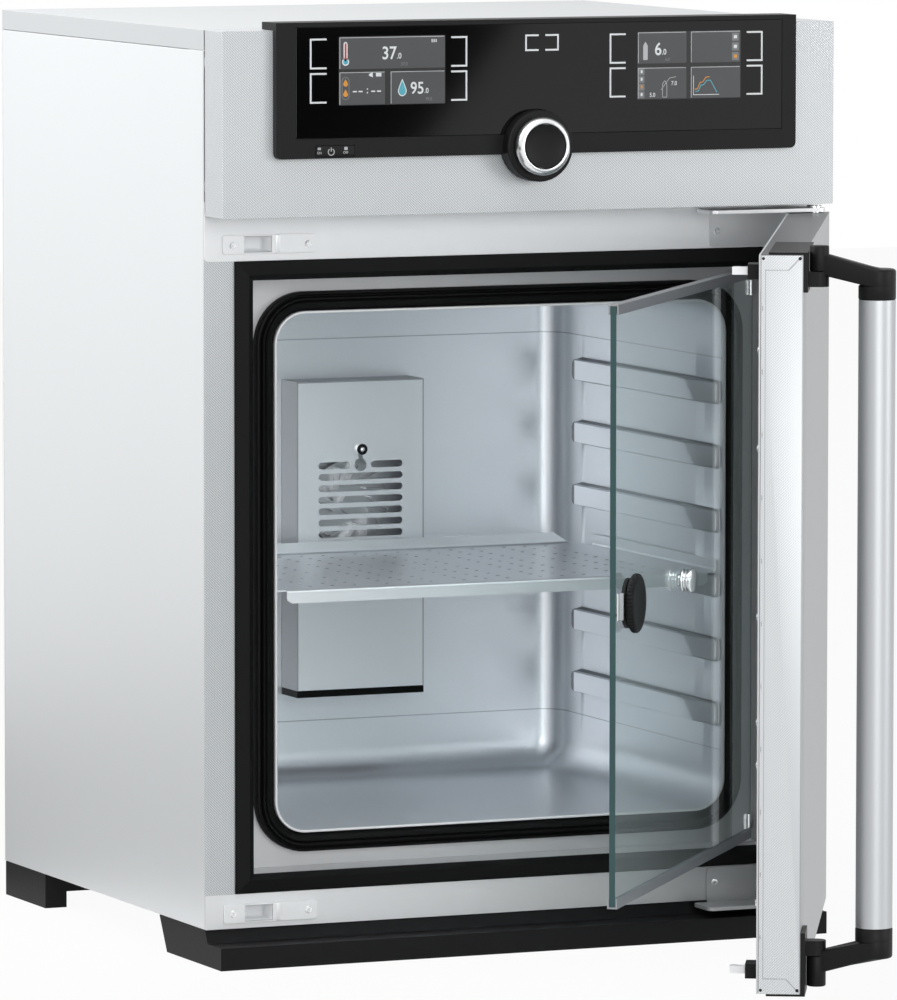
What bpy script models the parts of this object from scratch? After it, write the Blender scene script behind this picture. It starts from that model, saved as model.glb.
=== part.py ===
# Benchtop carbon dioxide incubator, a standalone Blender 4.5 script.
# Frame: metres, +Z up, +X to the right, the front faces -Y. The origin lies on the ground,
# under the plane of the front frame and midway between the side walls.
# The doors are modelled closed and then swung open about their hinges by their pivots.

import math

import bmesh
import bpy
from mathutils import Matrix, Vector

# Overall sizes
CASE_W = 0.559
CASE_H = 0.780
FRAME_TO_BACK = 0.470
PANEL_DEPTH = 0.0405
BASE_Z = 0.030
SHEET = 0.0015
SLOT_TRIM = 0.0001
WELD_REACH = 0.00001
GAP = 0.0003
THROUGH = 0.02

# Chamber, its liner and the recess that the glass door closes into
SIDE_WALL = 0.0745
CHAMBER_LOW = 0.105
HEAD_H = 0.2385
LIP_Y = 0.026
BACK_WALL = 0.108
LINER_T = 0.0012
CORNER_R = 0.0265
BACK_R = 0.022
RIB_COUNT = 6
RIB_HEAD = 0.0691
RIB_FOOT = 0.0909
RIB_H = 0.022
RIB_PROUD = 0.009
RIB_FRONT = 0.032
RIB_BACK_GAP = 0.049
RIB_ROUND = 0.004
RECESS_SIDE = 0.0315
RECESS_ENDS = 0.030
RECESS_DEPTH = 0.033

# Seals
OUTER_SEAL_W = 0.016
OUTER_SEAL_T = 0.0050
INNER_SEAL_W = 0.0158
INNER_SEAL_FRONT = 0.0226
OUTER_SEAL_ROUND = 0.0018
INNER_SEAL_ROUND = 0.0032

# Front sheets and control panel
FASCIA_T = 0.0012
FASCIA_CORNER = 0.003
FASCIA_TUCK = 0.012
PANEL_H = 0.1546
COVER_SKIRT = 0.0173
PANEL_BACK_GAP = 0.003
PANEL_TAB = 0.008
PANEL_TAB_DROPS = (0.134, 0.031)
PANEL_TAB_W = 0.006
PANEL_TAB_ROOT = 0.010
BEZEL_SIDE = 0.042
BEZEL_H = 0.106
BEZEL_T = 0.0067
BEZEL_LIP_H = 0.0062
BEZEL_LIP_REACH = 0.024
BEZEL_CORNER = 0.005
COLLAR_ROUND = 0.0015
BEZEL_LIP_SET = 0.001
COVER_GLASS_SIDE = 0.0155
COVER_GLASS_FOOT = 0.0167
COVER_GLASS_RISE = 0.0025
DISPLAY_SHIFT = 0.0055
BEZEL_SHIFT = 0.0033
GLASS_COVER_T = 0.0012
SCREEN_W = 0.096
SCREEN_H = 0.0572
SCREEN_T = 0.004
SCREEN_DROP = 0.0335
SCREEN_SIDE = 0.086
KNOB_DROP = 0.099
COLLAR_R = 0.030
COLLAR_PROUD = 0.0107
KNOB_R = 0.0238
KNOB_CAP_R = 0.0182
KNOB_T = 0.0085
KNOB_TRAVEL = 0.0015
KNOB_FOOT = 0.001
KNOB_SHOULDER = 0.002
KNOB_CROWN = 0.0005
CAP_DISH = 0.0008
SPINDLE_R = 0.003
SPINDLE_IN_CAP = 0.0050
BUTTON_SIDE = 0.056
BUTTON_RISE = 0.0062
BUTTON_W = 0.0345
BUTTON_H = 0.0088
BUTTON_T = 0.0050
BUTTON_PROUD = 0.0006
BUTTON_ROUND = 0.0005

# Main door, its hinge and its lock
DOOR_OPEN = 61.83
DOOR_STANDOFF = 0.0055
DOOR_SIDE = 0.001
DOOR_LOW = 0.0295
DOOR_TOP_GAP = 0.0079
DOOR_SHEET = 0.0012
HINGE_INSET_X = 0.0115
HINGE_INSET_Y = 0.0125
HINGE_PIN_R = 0.005
HINGE_BUSH_R = 0.0068
HINGE_PIN_IN = 0.012
PIN_HEAD_T = 0.002
PIN_HEAD_RIM = 0.0015
PIN_CHAMFER = 0.001
BUSH_RIM = 0.0025
BUSH_RIM_END = 0.004
BRACKET_T = 0.0030
BRACKET_FLANGE_T = 0.0011
BRACKET_REACH = 0.0985
BRACKET_PLATE_REACH = 0.1115
BRACKET_FLANGE_H = 0.031
BRACKET_CLEAR = 0.0011
BRACKET_OVERHANG = 0.008
BRACKET_CORNER = 0.005
BRACKET_EDGE = 0.0035
LEDGE_EDGE = 0.0030
LEDGE_CORNER = 0.006
BRACKET_NOTCH = 0.002
STRIKE_SHIFT = 0.0105
STRIKE_W = 0.084
STRIKE_H = 0.0158
STRIKE_T = 0.0020
STRIKE_CORNER = 0.002
STRIKE_LIP = 0.0004
UPPER_HOOK_DROP = 0.0158
LOWER_HOOK_RISE = 0.013
HOOK_SIDE = 0.047
SLOT_W = 0.025
SLOT_H = 0.0138
HOOK_PIVOT_Y = -0.015
HOOK_TIP_Y = 0.0177
HOOK_H = 0.006
HOOK_W = 0.007
HOOK_BARB = 0.0035
HOOK_EYE_RIM = 0.001
BARB_START = 0.0075
BARB_TOP = 0.0055
BARB_END = 0.002
HOUSING_W = 0.023
HOUSING_H = 0.012
HOUSING_FRONT = 0.005
HOUSING_BACK = -0.024
HOUSING_FLANGE_W = 0.030
HOUSING_FLANGE_H = 0.021
HOUSING_FLANGE_T = 0.0026
HOUSING_CHANNEL_W = 0.018
HOUSING_CHANNEL_H = 0.0072
HOUSING_WALL = 0.002
HOUSING_PIN_TRIM = 0.001
HOOK_PIN_R = 0.0025

# Handle
HANDLE_SIDE = 0.0245
HANDLE_PIVOT_OUT = 0.0118
HANDLE_BOSS_R = 0.0077
HANDLE_TUBE_OUT = 0.0575
HANDLE_TUBE_R = 0.0147
TUBE_FOOT_GAP = 0.0515
TUBE_TOP_GAP = 0.0365
HANDLE_ARM_H = 0.0235
HANDLE_ARM_W = 0.022
HANDLE_DROP = 0.0115
UPPER_BOSS_H = 0.0203
HANDLE_PIN_R = 0.003
HANDLE_PIN_IN = 0.010
HANDLE_ROOT = 0.0045
HANDLE_PLATE_T = 0.0034
HANDLE_PLATE_W = 0.046
UPPER_PLATE_H = 0.0313
LOWER_PLATE_H = 0.0505
UPPER_LUG_INSET = 0.0033
LOWER_LUG_INSET = 0.0084
LUG_T = 0.012
LOWER_BOSS_H = 0.0245
HANDLE_CAP_L = 0.130
HANDLE_CAP_T = 0.0015
HANDLE_CAP_REACH = 0.0273
HANDLE_CAP_SET = 0.0005

# Glass door
GLASS_OPEN = 50.60
GLASS_SIDE_GAP = 0.0075
GLASS_Y = 0.0173
GLASS_T = 0.005
GLASS_FOOT_GAP = 0.0040
GLASS_TOP_GAP = 0.0029
CHANNEL_H = 0.0083
CHANNEL_T = 0.0084
CHANNEL_END = 0.005
GLASS_AXIS_SIDE = 0.005
GLASS_PIN_R = 0.0021
CLAMP_H = 0.013
CLAMP_W = 0.012
BARREL_R = 0.0038
CLAMP_JAW = 0.0015
HINGE_FOOT_H = 0.0035
CLAMP_SPACE = 0.004
HINGE_PIN_SHARE = 0.6
LATCH_SIDE = 0.034
LATCH_RISE = 0.00125
LATCH_KNOB_R = 0.0242
LATCH_KNOB_T = 0.0055
LATCH_BASE_R = 0.0205
LATCH_BASE_T = 0.0032
LATCH_STANDOFF = 0.0022
LATCH_ROUND = 0.0012
LATCH_HOLE_R = 0.0045
LATCH_BUSH_R = 0.0042
LATCH_BUSH_BORE = 0.0022
LATCH_HUB_R = 0.0060
LATCH_HUB_L = 0.0018
LATCH_SPINDLE_R = 0.0019
LATCH_SPINDLE_L = 0.0080
LATCH_BASE_ROUND = 0.001
CLIP_H = 0.022
CLIP_T = 0.0012
CLIP_HALF_ROOT = 0.0075
CLIP_REACH = 0.0030
CLIP_STEP = 0.0022
CLIP_BENDS = (0.006, 0.002, 0.0015, 0.005)
STRIKER_H = 0.032
STRIKER_T = 0.0035
STRIKER_FRONT = 0.010
STRIKER_BACK = 0.0065
STRIKER_ROUND = 0.0006
PORT_X = -0.014
PORT_RISE = 0.00175
PORT_R = 0.0104
PORT_L = 0.0118
PORT_STEM_R = 0.005
PORT_TAIL = 0.006
PORT_GROOVES = (0.0012, 0.0035, 0.0045, 0.0060)
PORT_NECK = (0.0045, 0.0025, 0.0015)

# Inside the chamber
SHELF_SIDE_GAP = 0.0025
SHELF_FRONT_GAP = 0.005
SHELF_BACK_GAP = 0.0545
SHELF_T = 0.0012
SHELF_FRONT_DROP = 0.010
SHELF_UPSTAND = 0.010
SHELF_RIB = 3
SHELF_CORNER = 0.016
SHELF_SIDE_START = 0.006
SHELF_FOLD_GAP = 0.003
SHELF_LIP_GAP = 0.003
COVER_W = 0.1206
COVER_RISE = 0.0805
COVER_DROP = 0.085
COVER_DEPTH = 0.036
COVER_T = 0.0010
COVER_SLOTS = 7
COVER_SLOT_W = 0.080
COVER_SLOT_H = 0.0060
COVER_SLOT_PITCH = 0.01005
COVER_SLOT_DROP = 0.0739
COVER_SCREW_DROP = 0.0602
COVER_SCREW_R = 0.0048
COVER_SCREW_HEAD = 0.004
COVER_SCREW_ROUND = 0.0012
COVER_STUD_R = 0.0017
KEYHOLE_RIM = 0.001
KEYHOLE_HALF = 0.0022
KEYHOLE_BRIDGE = 0.010
FAN_DROP = 0.1105
FAN_R = 0.038
FAN_T = 0.014
FAN_BLADES = 12
FAN_SHAFT_R = 0.003
FAN_SHAFT_CLEAR = 0.002
FAN_SHAFT_IN = 0.018
FAN_DISC_T = 0.0015
FAN_HUB_R = 0.009
FAN_HUB_L = 0.010
BLADE_HALF_T = 0.0006
BLADE_HALF_H = 0.010
BLADE_INSET = 0.012
BLADE_LEAN = 35
FAN_BACK_CLEAR = 0.006
MOTOR_R = 0.030
MOTOR_L = 0.042
MOTOR_FLANGE_R = 0.0345
MOTOR_FLANGE_T = 0.003
MOTOR_ROUND = 0.004
SENSOR_RISE = 0.0545
SENSOR_R = 0.009
SENSOR_L = 0.022
SENSOR_COLLAR_R = 0.0117
SENSOR_COLLAR_T = 0.004
SENSOR_TIP_R = 0.0063
SENSOR_ROUND = 0.003

# Underside and back
PLINTH_FRONT = 0.0354
PLINTH_TOE_H = 0.019
PLINTH_STEP_Y = 0.0056
PLINTH_BACK_TOP = 0.103
PLINTH_BACK_LOW = 0.086
REAR_FOOT_DEPTH = 0.098
REAR_FOOT_BACK_GAP = 0.001
REAR_FOOT_W = 0.020
REAR_FOOT_BAR = 0.014
VENT_SIDE = 0.1595
VENT_ROWS = 6
VENT_W = 0.110
VENT_H = 0.005
VENT_PITCH = 0.012
VENT_DROP = 0.100
INLET_SIDE = 0.0645
INLET_DROP = 0.080
INLET_W = 0.047
INLET_H = 0.027
INLET_PROUD = 0.0022
INLET_DEPTH = 0.025
INLET_RIM = 0.003
SOCKET_HALF_W = 0.0125
SOCKET_HALF_H = 0.0085
SOCKET_DEPTH = 0.017
PIN_PLACES = ((-0.007, -0.002), (0.0, 0.002), (0.007, -0.002))
PIN_HALF_W = 0.001
PIN_HALF_H = 0.002
PIN_ROOT = 0.018
PIN_TIP = 0.006
GAS_SIDE = 0.0545
GAS_DROP = 0.080
GAS_R = 0.0085
GAS_STEM_R = 0.0051
GAS_NECK_R = 0.0036
GAS_TIP_R = 0.0031
GAS_BORE_R = 0.0015
GAS_L = 0.026
GAS_BARBS = (0.022, 0.017, 0.012)
GAS_FLANGE_T = 0.006
GAS_TAIL = 0.008
SIDES = 32

HALF = CASE_W / 2
CHAMBER_HALF = HALF - SIDE_WALL
CHAMBER_W = 2 * CHAMBER_HALF
CHAMBER_TOP = CASE_H - HEAD_H
CHAMBER_H = CHAMBER_TOP - CHAMBER_LOW
CHAMBER_MIDDLE = (CHAMBER_LOW + CHAMBER_TOP) / 2
CHAMBER_BACK = FRAME_TO_BACK - BACK_WALL
RIB_TOP = CHAMBER_TOP - RIB_HEAD
RIB_PITCH = (CHAMBER_H - RIB_HEAD - RIB_FOOT) / (RIB_COUNT - 1)
RIB_BACK = CHAMBER_BACK - RIB_BACK_GAP
RECESS_HALF = CHAMBER_HALF + RECESS_SIDE
RECESS_LOW = CHAMBER_LOW - RECESS_ENDS
RECESS_TOP = CHAMBER_TOP + RECESS_ENDS
SIDE_TOP = CASE_H - COVER_SKIRT - GAP
PANEL_BOTTOM = CASE_H - PANEL_H
FASCIA_FRONT = -(GAP + FASCIA_T)
PANEL_Y = -PANEL_DEPTH
DOOR_IN = -DOOR_STANDOFF
DOOR_HALF = HALF - DOOR_SIDE
DOOR_TOP = PANEL_BOTTOM - DOOR_TOP_GAP
UPPER_HOOK_Z = DOOR_TOP - UPPER_HOOK_DROP
LOWER_HOOK_Z = DOOR_LOW + LOWER_HOOK_RISE
HOOK_X = HOOK_SIDE - HALF
STRIKE_X = HOOK_X + STRIKE_SHIFT
BRACKET_LEFT = HALF - BRACKET_REACH
BRACKET_PLATE_LEFT = HALF - BRACKET_PLATE_REACH
HINGE_X = HALF - HINGE_INSET_X
HINGE_Y = PANEL_Y + HINGE_INSET_Y
BEZEL_Y = PANEL_Y - GAP - BEZEL_T
BEZEL_W = 2 * (HALF - BEZEL_SIDE)
BEZEL_LOW = CASE_H - BEZEL_H
GLASS_COVER_W = BEZEL_W - 2 * COVER_GLASS_SIDE
GLASS_COVER_LOW = BEZEL_LOW + COVER_GLASS_FOOT
GLASS_COVER_TOP = CASE_H + COVER_GLASS_RISE
SCREEN_X = GLASS_COVER_W / 2 - SCREEN_SIDE
SCREEN_Z = CASE_H - SCREEN_DROP
KNOB_Z = CASE_H - KNOB_DROP
BUTTON_X = BUTTON_SIDE - BEZEL_W / 2
BUTTON_Z = BEZEL_LOW + BUTTON_RISE
COLLAR_Y = BEZEL_Y - COLLAR_PROUD
GLASS_AXIS_X = RECESS_HALF - GLASS_AXIS_SIDE
GLASS_AXIS_Y = GLASS_Y + GLASS_T / 2
GLASS_HALF_W = RECESS_HALF - GLASS_SIDE_GAP
GLASS_LOW = RECESS_LOW + GLASS_FOOT_GAP
GLASS_TOP = RECESS_TOP - GLASS_TOP_GAP
LATCH_X = LATCH_SIDE - GLASS_HALF_W
LATCH_Z = CHAMBER_MIDDLE + LATCH_RISE
PORT_Z = CHAMBER_MIDDLE + PORT_RISE
HANDLE_X = HANDLE_SIDE - HALF
HANDLE_TUBE_LOW = DOOR_LOW + TUBE_FOOT_GAP
HANDLE_TUBE_TOP = DOOR_TOP - TUBE_TOP_GAP
HANDLE_PIVOT_Y = PANEL_Y - HANDLE_PIVOT_OUT
HANDLE_TUBE_Y = PANEL_Y - HANDLE_TUBE_OUT
SHELF_W = CHAMBER_W - 2 * SHELF_SIDE_GAP
SHELF_FRONT = LIP_Y + SHELF_FRONT_GAP
SHELF_BACK = CHAMBER_BACK - SHELF_BACK_GAP
COVER_LOW = CHAMBER_LOW + COVER_RISE
COVER_TOP = CHAMBER_TOP - COVER_DROP
COVER_FRONT = CHAMBER_BACK - COVER_DEPTH
COVER_SLOT_TOP = COVER_TOP - COVER_SLOT_DROP
COVER_SCREW_Z = COVER_TOP - COVER_SCREW_DROP
FAN_Z = COVER_TOP - FAN_DROP
SENSOR_Z = COVER_LOW + SENSOR_RISE
REAR_FOOT_BACK = FRAME_TO_BACK - REAR_FOOT_BACK_GAP
VENT_COLUMNS = (VENT_SIDE - HALF, HALF - VENT_SIDE)
VENT_LOW = CASE_H - VENT_DROP
INLET_X = HALF - INLET_SIDE
INLET_Z = CASE_H - INLET_DROP
GAS_X = GAS_SIDE - HALF
GAS_Z = CASE_H - GAS_DROP

FACE_FRONT = (math.pi / 2, 0, 0)
FACE_SIDE = (math.pi / 2, 0, math.pi / 2)
FACE_UP = (0, 0, 0)


# Scene, collections and materials

def clear_scene():
    for obj in list(bpy.data.objects):
        bpy.data.objects.remove(obj, do_unlink=True)


def collection(name):
    group = bpy.data.collections.new(name)
    bpy.context.scene.collection.children.link(group)
    return group


def material(name, color, roughness, metallic=0.0, transmission=0.0):
    mat = bpy.data.materials.new(name)
    mat.use_nodes = True
    shader = mat.node_tree.nodes["Principled BSDF"]
    shader.inputs["Base Color"].default_value = (*color, 1.0)
    shader.inputs["Roughness"].default_value = roughness
    shader.inputs["Metallic"].default_value = metallic
    shader.inputs["Transmission Weight"].default_value = transmission
    return mat


clear_scene()
PARTS = collection("carbon_dioxide_incubator")
CUTTERS = collection("cutters")
TEXTURED = material("textured_steel", (0.78, 0.80, 0.82), 0.35, 0.9)
SMOOTH = material("smooth_sheet", (0.72, 0.73, 0.75), 0.4, 0.8)
LINER = material("liner_steel", (0.66, 0.70, 0.74), 0.25, 1.0)
BRIGHT = material("bright_steel", (0.85, 0.86, 0.87), 0.15, 1.0)
ALUMINIUM = material("aluminium", (0.82, 0.84, 0.85), 0.3, 1.0)
BLACK = material("black_plastic", (0.02, 0.02, 0.022), 0.5)
RUBBER = material("seal_rubber", (0.012, 0.013, 0.013), 0.6)
GLOSS = material("gloss_cover", (0.01, 0.01, 0.011), 0.08)
SCREEN = material("screen", (0.08, 0.08, 0.085), 0.2)
GLASS = material("door_glass", (0.75, 0.86, 0.86), 0.02, 0.0, 1.0)
WHITE = material("white_plastic", (0.8, 0.8, 0.8), 0.4)


# Placing, pivots and booleans

def pivot(name, place, degrees=0.0, parent=None):
    """An empty on a joint's axis. Its pieces are modelled as if the joint were closed."""
    empty = bpy.data.objects.new(name, None)
    PARTS.objects.link(empty)
    empty.location = place
    empty.rotation_euler = (0, 0, math.radians(degrees))
    if parent:
        carry(empty, parent)
    empty["closed_place"] = place
    return empty


def carry(obj, parent):
    """Parent a piece that is placed in closed-door coordinates, and its cutters with it."""
    obj.parent = parent
    obj.matrix_parent_inverse = Matrix.Translation(-Vector(parent["closed_place"]))
    for modifier in obj.modifiers:
        if modifier.type == "BOOLEAN" and not modifier.object.parent:
            carry(modifier.object, parent)


def finish(obj, name, mat, parent=None, smooth=0):
    obj.name = name
    obj.data.name = name
    for group in list(obj.users_collection):
        group.objects.unlink(obj)
    PARTS.objects.link(obj)
    obj.data.materials.clear()
    obj.data.materials.append(mat)
    if smooth:
        obj.data.shade_smooth()
        obj.data.set_sharp_from_angle(angle=math.radians(smooth))
    if parent:
        carry(obj, parent)
    return obj


def as_cutter(obj):
    for group in list(obj.users_collection):
        group.objects.unlink(obj)
    CUTTERS.objects.link(obj)
    obj.hide_render = True
    obj.display_type = "WIRE"
    return obj


def combine(target, other, operation):
    """Boolean on the target; the other object is kept as a cutter that moves with it."""
    as_cutter(other)
    modifier = target.modifiers.new(operation.lower(), "BOOLEAN")
    modifier.operation = operation
    modifier.solver = "EXACT"
    modifier.object = other
    return target


def cut(target, *others):
    for other in others:
        combine(target, other, "DIFFERENCE")
    return target


def join(target, *others):
    for other in others:
        combine(target, other, "UNION")
    return target


def round_edges(obj, width, segments=2, angle=40):
    modifier = obj.modifiers.new("round", "BEVEL")
    modifier.width = width
    modifier.segments = segments
    modifier.limit_method = "ANGLE"
    modifier.angle_limit = math.radians(angle)
    return obj


# Basic solids

def mesh_object(name, mesh_data, place=(0, 0, 0), turn=(0, 0, 0)):
    mesh = bpy.data.meshes.new(name)
    mesh_data.to_mesh(mesh)
    mesh_data.free()
    obj = bpy.data.objects.new(name, mesh)
    PARTS.objects.link(obj)
    obj.location = place
    obj.rotation_euler = turn
    return obj


def box(low, high):
    """A block between two corners, with its origin at its middle."""
    size = [b - a for a, b in zip(low, high)]
    middle = [(a + b) / 2 for a, b in zip(low, high)]
    block = bmesh.new()
    bmesh.ops.create_cube(block, size=1.0)
    bmesh.ops.scale(block, vec=size, verts=block.verts)
    return mesh_object("box", block, middle)


def open_box(low, high, side, thickness):
    """A sheet-metal tray: a block without the face that looks along side, given a wall."""
    obj = box(low, high)
    tray = bmesh.new()
    tray.from_mesh(obj.data)
    gone = [f for f in tray.faces if f.normal.dot(Vector(side)) > 0.5]
    bmesh.ops.delete(tray, geom=gone, context="FACES")
    tray.to_mesh(obj.data)
    tray.free()
    wall = obj.modifiers.new("wall", "SOLIDIFY")
    wall.thickness = thickness
    wall.offset = -1.0
    wall.use_even_offset = True
    return obj


def cylinder(middle, radius, length, axis="Z", sides=SIDES):
    turn = {"X": (0, math.pi / 2, 0), "Y": (math.pi / 2, 0, 0), "Z": (0, 0, 0)}[axis]
    rod = bmesh.new()
    bmesh.ops.create_cone(rod, cap_ends=True, segments=sides, radius1=radius,
                          radius2=radius, depth=length)
    return mesh_object("cylinder", rod, middle, turn)


def turned(profile, place, turn, sides=SIDES):
    """Revolve a profile of (radius, height) pairs, top to bottom, about the local Z axis."""
    line = bmesh.new()
    points = [line.verts.new((r, 0, z)) for r, z in profile]
    for first, second in zip(points, points[1:]):
        line.edges.new((first, second))
    obj = mesh_object("turned", line, place, turn)
    screw = obj.modifiers.new("turn", "SCREW")
    screw.axis = "Z"
    screw.steps = sides
    screw.render_steps = sides
    screw.use_merge_vertices = True
    screw.merge_threshold = WELD_REACH
    screw.use_smooth_shade = True
    return obj


def rounded(width, height, radius, centre=(0, 0), steps=5):
    """The outline of a rounded rectangle, anticlockwise."""
    points = []
    for turn, (sx, sy) in enumerate(((1, 1), (-1, 1), (-1, -1), (1, -1))):
        cx = centre[0] + sx * (width / 2 - radius)
        cy = centre[1] + sy * (height / 2 - radius)
        for step in range(steps + 1):
            angle = (turn + step / steps) * math.pi / 2
            points.append((cx + radius * math.cos(angle), cy + radius * math.sin(angle)))
    return points


def rectangle(left, low, right, top):
    return [(left, low), (right, low), (right, top), (left, top)]


def plate(outlines, thickness, place, turn, edge=0.0):
    """A flat outline with holes, extruded evenly to both sides of its plane, as a mesh."""
    curve = bpy.data.curves.new("plate", "CURVE")
    curve.dimensions = "2D"
    curve.fill_mode = "BOTH"
    curve.extrude = thickness / 2 - edge
    curve.bevel_depth = edge
    curve.bevel_resolution = 1 if edge else 0
    curve.offset = -edge
    for outline in outlines:
        spline = curve.splines.new("POLY")
        spline.points.add(len(outline) - 1)
        for point, (x, y) in zip(spline.points, outline):
            point.co = (x, y, 0, 1)
        spline.use_cyclic_u = True
    obj = bpy.data.objects.new("plate", curve)
    PARTS.objects.link(obj)
    bpy.context.view_layer.update()
    depsgraph = bpy.context.evaluated_depsgraph_get()
    mesh = bpy.data.meshes.new_from_object(obj.evaluated_get(depsgraph))
    bpy.data.objects.remove(obj, do_unlink=True)
    solid = bmesh.new()
    solid.from_mesh(mesh)
    bmesh.ops.remove_doubles(solid, verts=solid.verts, dist=WELD_REACH / 2)
    bmesh.ops.recalc_face_normals(solid, faces=solid.faces)
    bpy.data.meshes.remove(mesh)
    return mesh_object("plate", solid, place, turn)


def slot_cutter(width, height, depth, place, turn=FACE_FRONT):
    return plate([rounded(width, height, height / 2 - WELD_REACH, steps=4)], depth, place, turn)


# Casing, frame and base

def outer_casing():
    low = (-HALF, SHEET + GAP, BASE_Z)
    high = (HALF, FRAME_TO_BACK - SHEET - GAP, SIDE_TOP)
    obj = open_box(low, high, (0, 0, 1), SHEET)
    shell = bmesh.new()
    shell.from_mesh(obj.data)
    ends = [f for f in shell.faces if abs(f.normal.y) > 0.5]
    bmesh.ops.delete(shell, geom=ends, context="FACES")
    shell.to_mesh(obj.data)
    shell.free()
    return finish(obj, "outer_casing", TEXTURED)


def top_cover():
    low = (-HALF, 0, CASE_H - COVER_SKIRT)
    high = (HALF, FRAME_TO_BACK, CASE_H)
    obj = open_box(low, high, (0, 0, -1), SHEET)
    return finish(obj, "top_cover", TEXTURED)


def rear_panel():
    inlet_half = INLET_W / 2 + GAP
    holes = [rectangle(-INLET_X - inlet_half, INLET_Z - INLET_H / 2 - GAP,
                       -INLET_X + inlet_half, INLET_Z + INLET_H / 2 + GAP)]
    holes.append(ring_points(GAS_STEM_R + GAP, (-GAS_X, GAS_Z)))
    for column in VENT_COLUMNS:
        for row in range(VENT_ROWS):
            centre = (column, VENT_LOW + row * VENT_PITCH)
            holes.append(rounded(VENT_W, VENT_H, VENT_H / 2 - SLOT_TRIM, centre, 3))
    outline = rectangle(-HALF, BASE_Z, HALF, SIDE_TOP)
    place = (0, FRAME_TO_BACK - SHEET / 2, 0)
    obj = plate([outline] + holes, SHEET, place, (math.pi / 2, 0, math.pi))
    return finish(obj, "rear_panel", TEXTURED)


def ring_points(radius, centre=(0, 0), sides=24):
    return [(centre[0] + radius * math.cos(2 * math.pi * i / sides),
             centre[1] + radius * math.sin(2 * math.pi * i / sides)) for i in range(sides)]


def strike_slot(z):
    return slot_box(HOOK_X, z, SLOT_W, SLOT_H, -THROUGH / 2, THROUGH / 2)


def slot_box(x, z, width, height, front, back):
    return box((x - width / 2, front, z - height / 2), (x + width / 2, back, z + height / 2))


def front_frame():
    """Front plate with the square-cornered recess, whose inner ring holds the liner."""
    inner = CHAMBER_HALF + LINER_T + GAP
    seat_low = CHAMBER_LOW - LINER_T - GAP
    seat_top = CHAMBER_TOP + LINER_T + GAP
    recess = open_box((-RECESS_HALF - SHEET, 0, RECESS_LOW - SHEET),
                      (RECESS_HALF + SHEET, RECESS_DEPTH + SHEET, RECESS_TOP + SHEET),
                      (0, -1, 0), SHEET)
    opening = [rectangle(-RECESS_HALF, RECESS_LOW, RECESS_HALF, RECESS_TOP)]
    outline = rectangle(-HALF, BASE_Z, HALF, SIDE_TOP)
    obj = plate([outline] + opening, SHEET, (0, SHEET / 2, 0), FACE_FRONT)
    join(obj, recess)
    seat = rounded(2 * inner, seat_top - seat_low, CORNER_R + LINER_T + GAP,
                   (0, (seat_low + seat_top) / 2), 6)
    cut(obj, plate([seat], THROUGH, (0, RECESS_DEPTH, 0), FACE_FRONT))
    cut(obj, strike_slot(UPPER_HOOK_Z), strike_slot(LOWER_HOOK_Z))
    return finish(obj, "front_frame", TEXTURED)


def fascia(name, low, top, hook_z, corner_low, corner_top):
    """A smooth front sheet with its own corner radius below and above, and a strike slot."""
    outline = []
    for sx, z, turn in ((1, top, 0), (-1, top, 1), (-1, low, 2), (1, low, 3)):
        radius = corner_top if z == top else corner_low
        cz = z - radius if z == top else z + radius
        for step in range(4):
            angle = (turn + step / 3) * math.pi / 2
            outline.append((sx * (HALF - radius) + radius * math.cos(angle),
                            cz + radius * math.sin(angle)))
    obj = plate([outline], FASCIA_T, (0, -GAP - FASCIA_T / 2, 0), FACE_FRONT)
    cut(obj, strike_slot(hook_z))
    return finish(obj, name, SMOOTH)


def front_plinth():
    """Front foot bar: a toe under the open door, a step and a sloping back."""
    top = BASE_Z - GAP
    outline = [(-PLINTH_FRONT, 0), (PLINTH_BACK_LOW, 0), (PLINTH_BACK_TOP, top),
               (0, top), (-PLINTH_STEP_Y, PLINTH_TOE_H), (-PLINTH_FRONT, PLINTH_TOE_H)]
    obj = plate([outline], CASE_W, (0, 0, 0), FACE_SIDE)
    notch_low = DOOR_LOW - BRACKET_CLEAR - BRACKET_T - 2 * GAP
    cut(obj, box((BRACKET_PLATE_LEFT - BRACKET_NOTCH, -PANEL_DEPTH, notch_low),
                 (HALF + THROUGH, GAP, BASE_Z + THROUGH)))
    return finish(obj, "front_plinth", BLACK)


def rear_foot_bar():
    """Rear foot bar: a cross bar under the base with a leg at each end."""
    top = BASE_Z - GAP
    leg = HALF - REAR_FOOT_W
    outline = [(-HALF, 0), (-leg, 0), (-leg, REAR_FOOT_BAR), (leg, REAR_FOOT_BAR),
               (leg, 0), (HALF, 0), (HALF, top), (-HALF, top)]
    middle = REAR_FOOT_BACK - REAR_FOOT_DEPTH / 2
    obj = plate([outline], REAR_FOOT_DEPTH, (0, middle, 0), FACE_FRONT)
    return finish(obj, "rear_foot_bar", BLACK)


# Chamber

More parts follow.
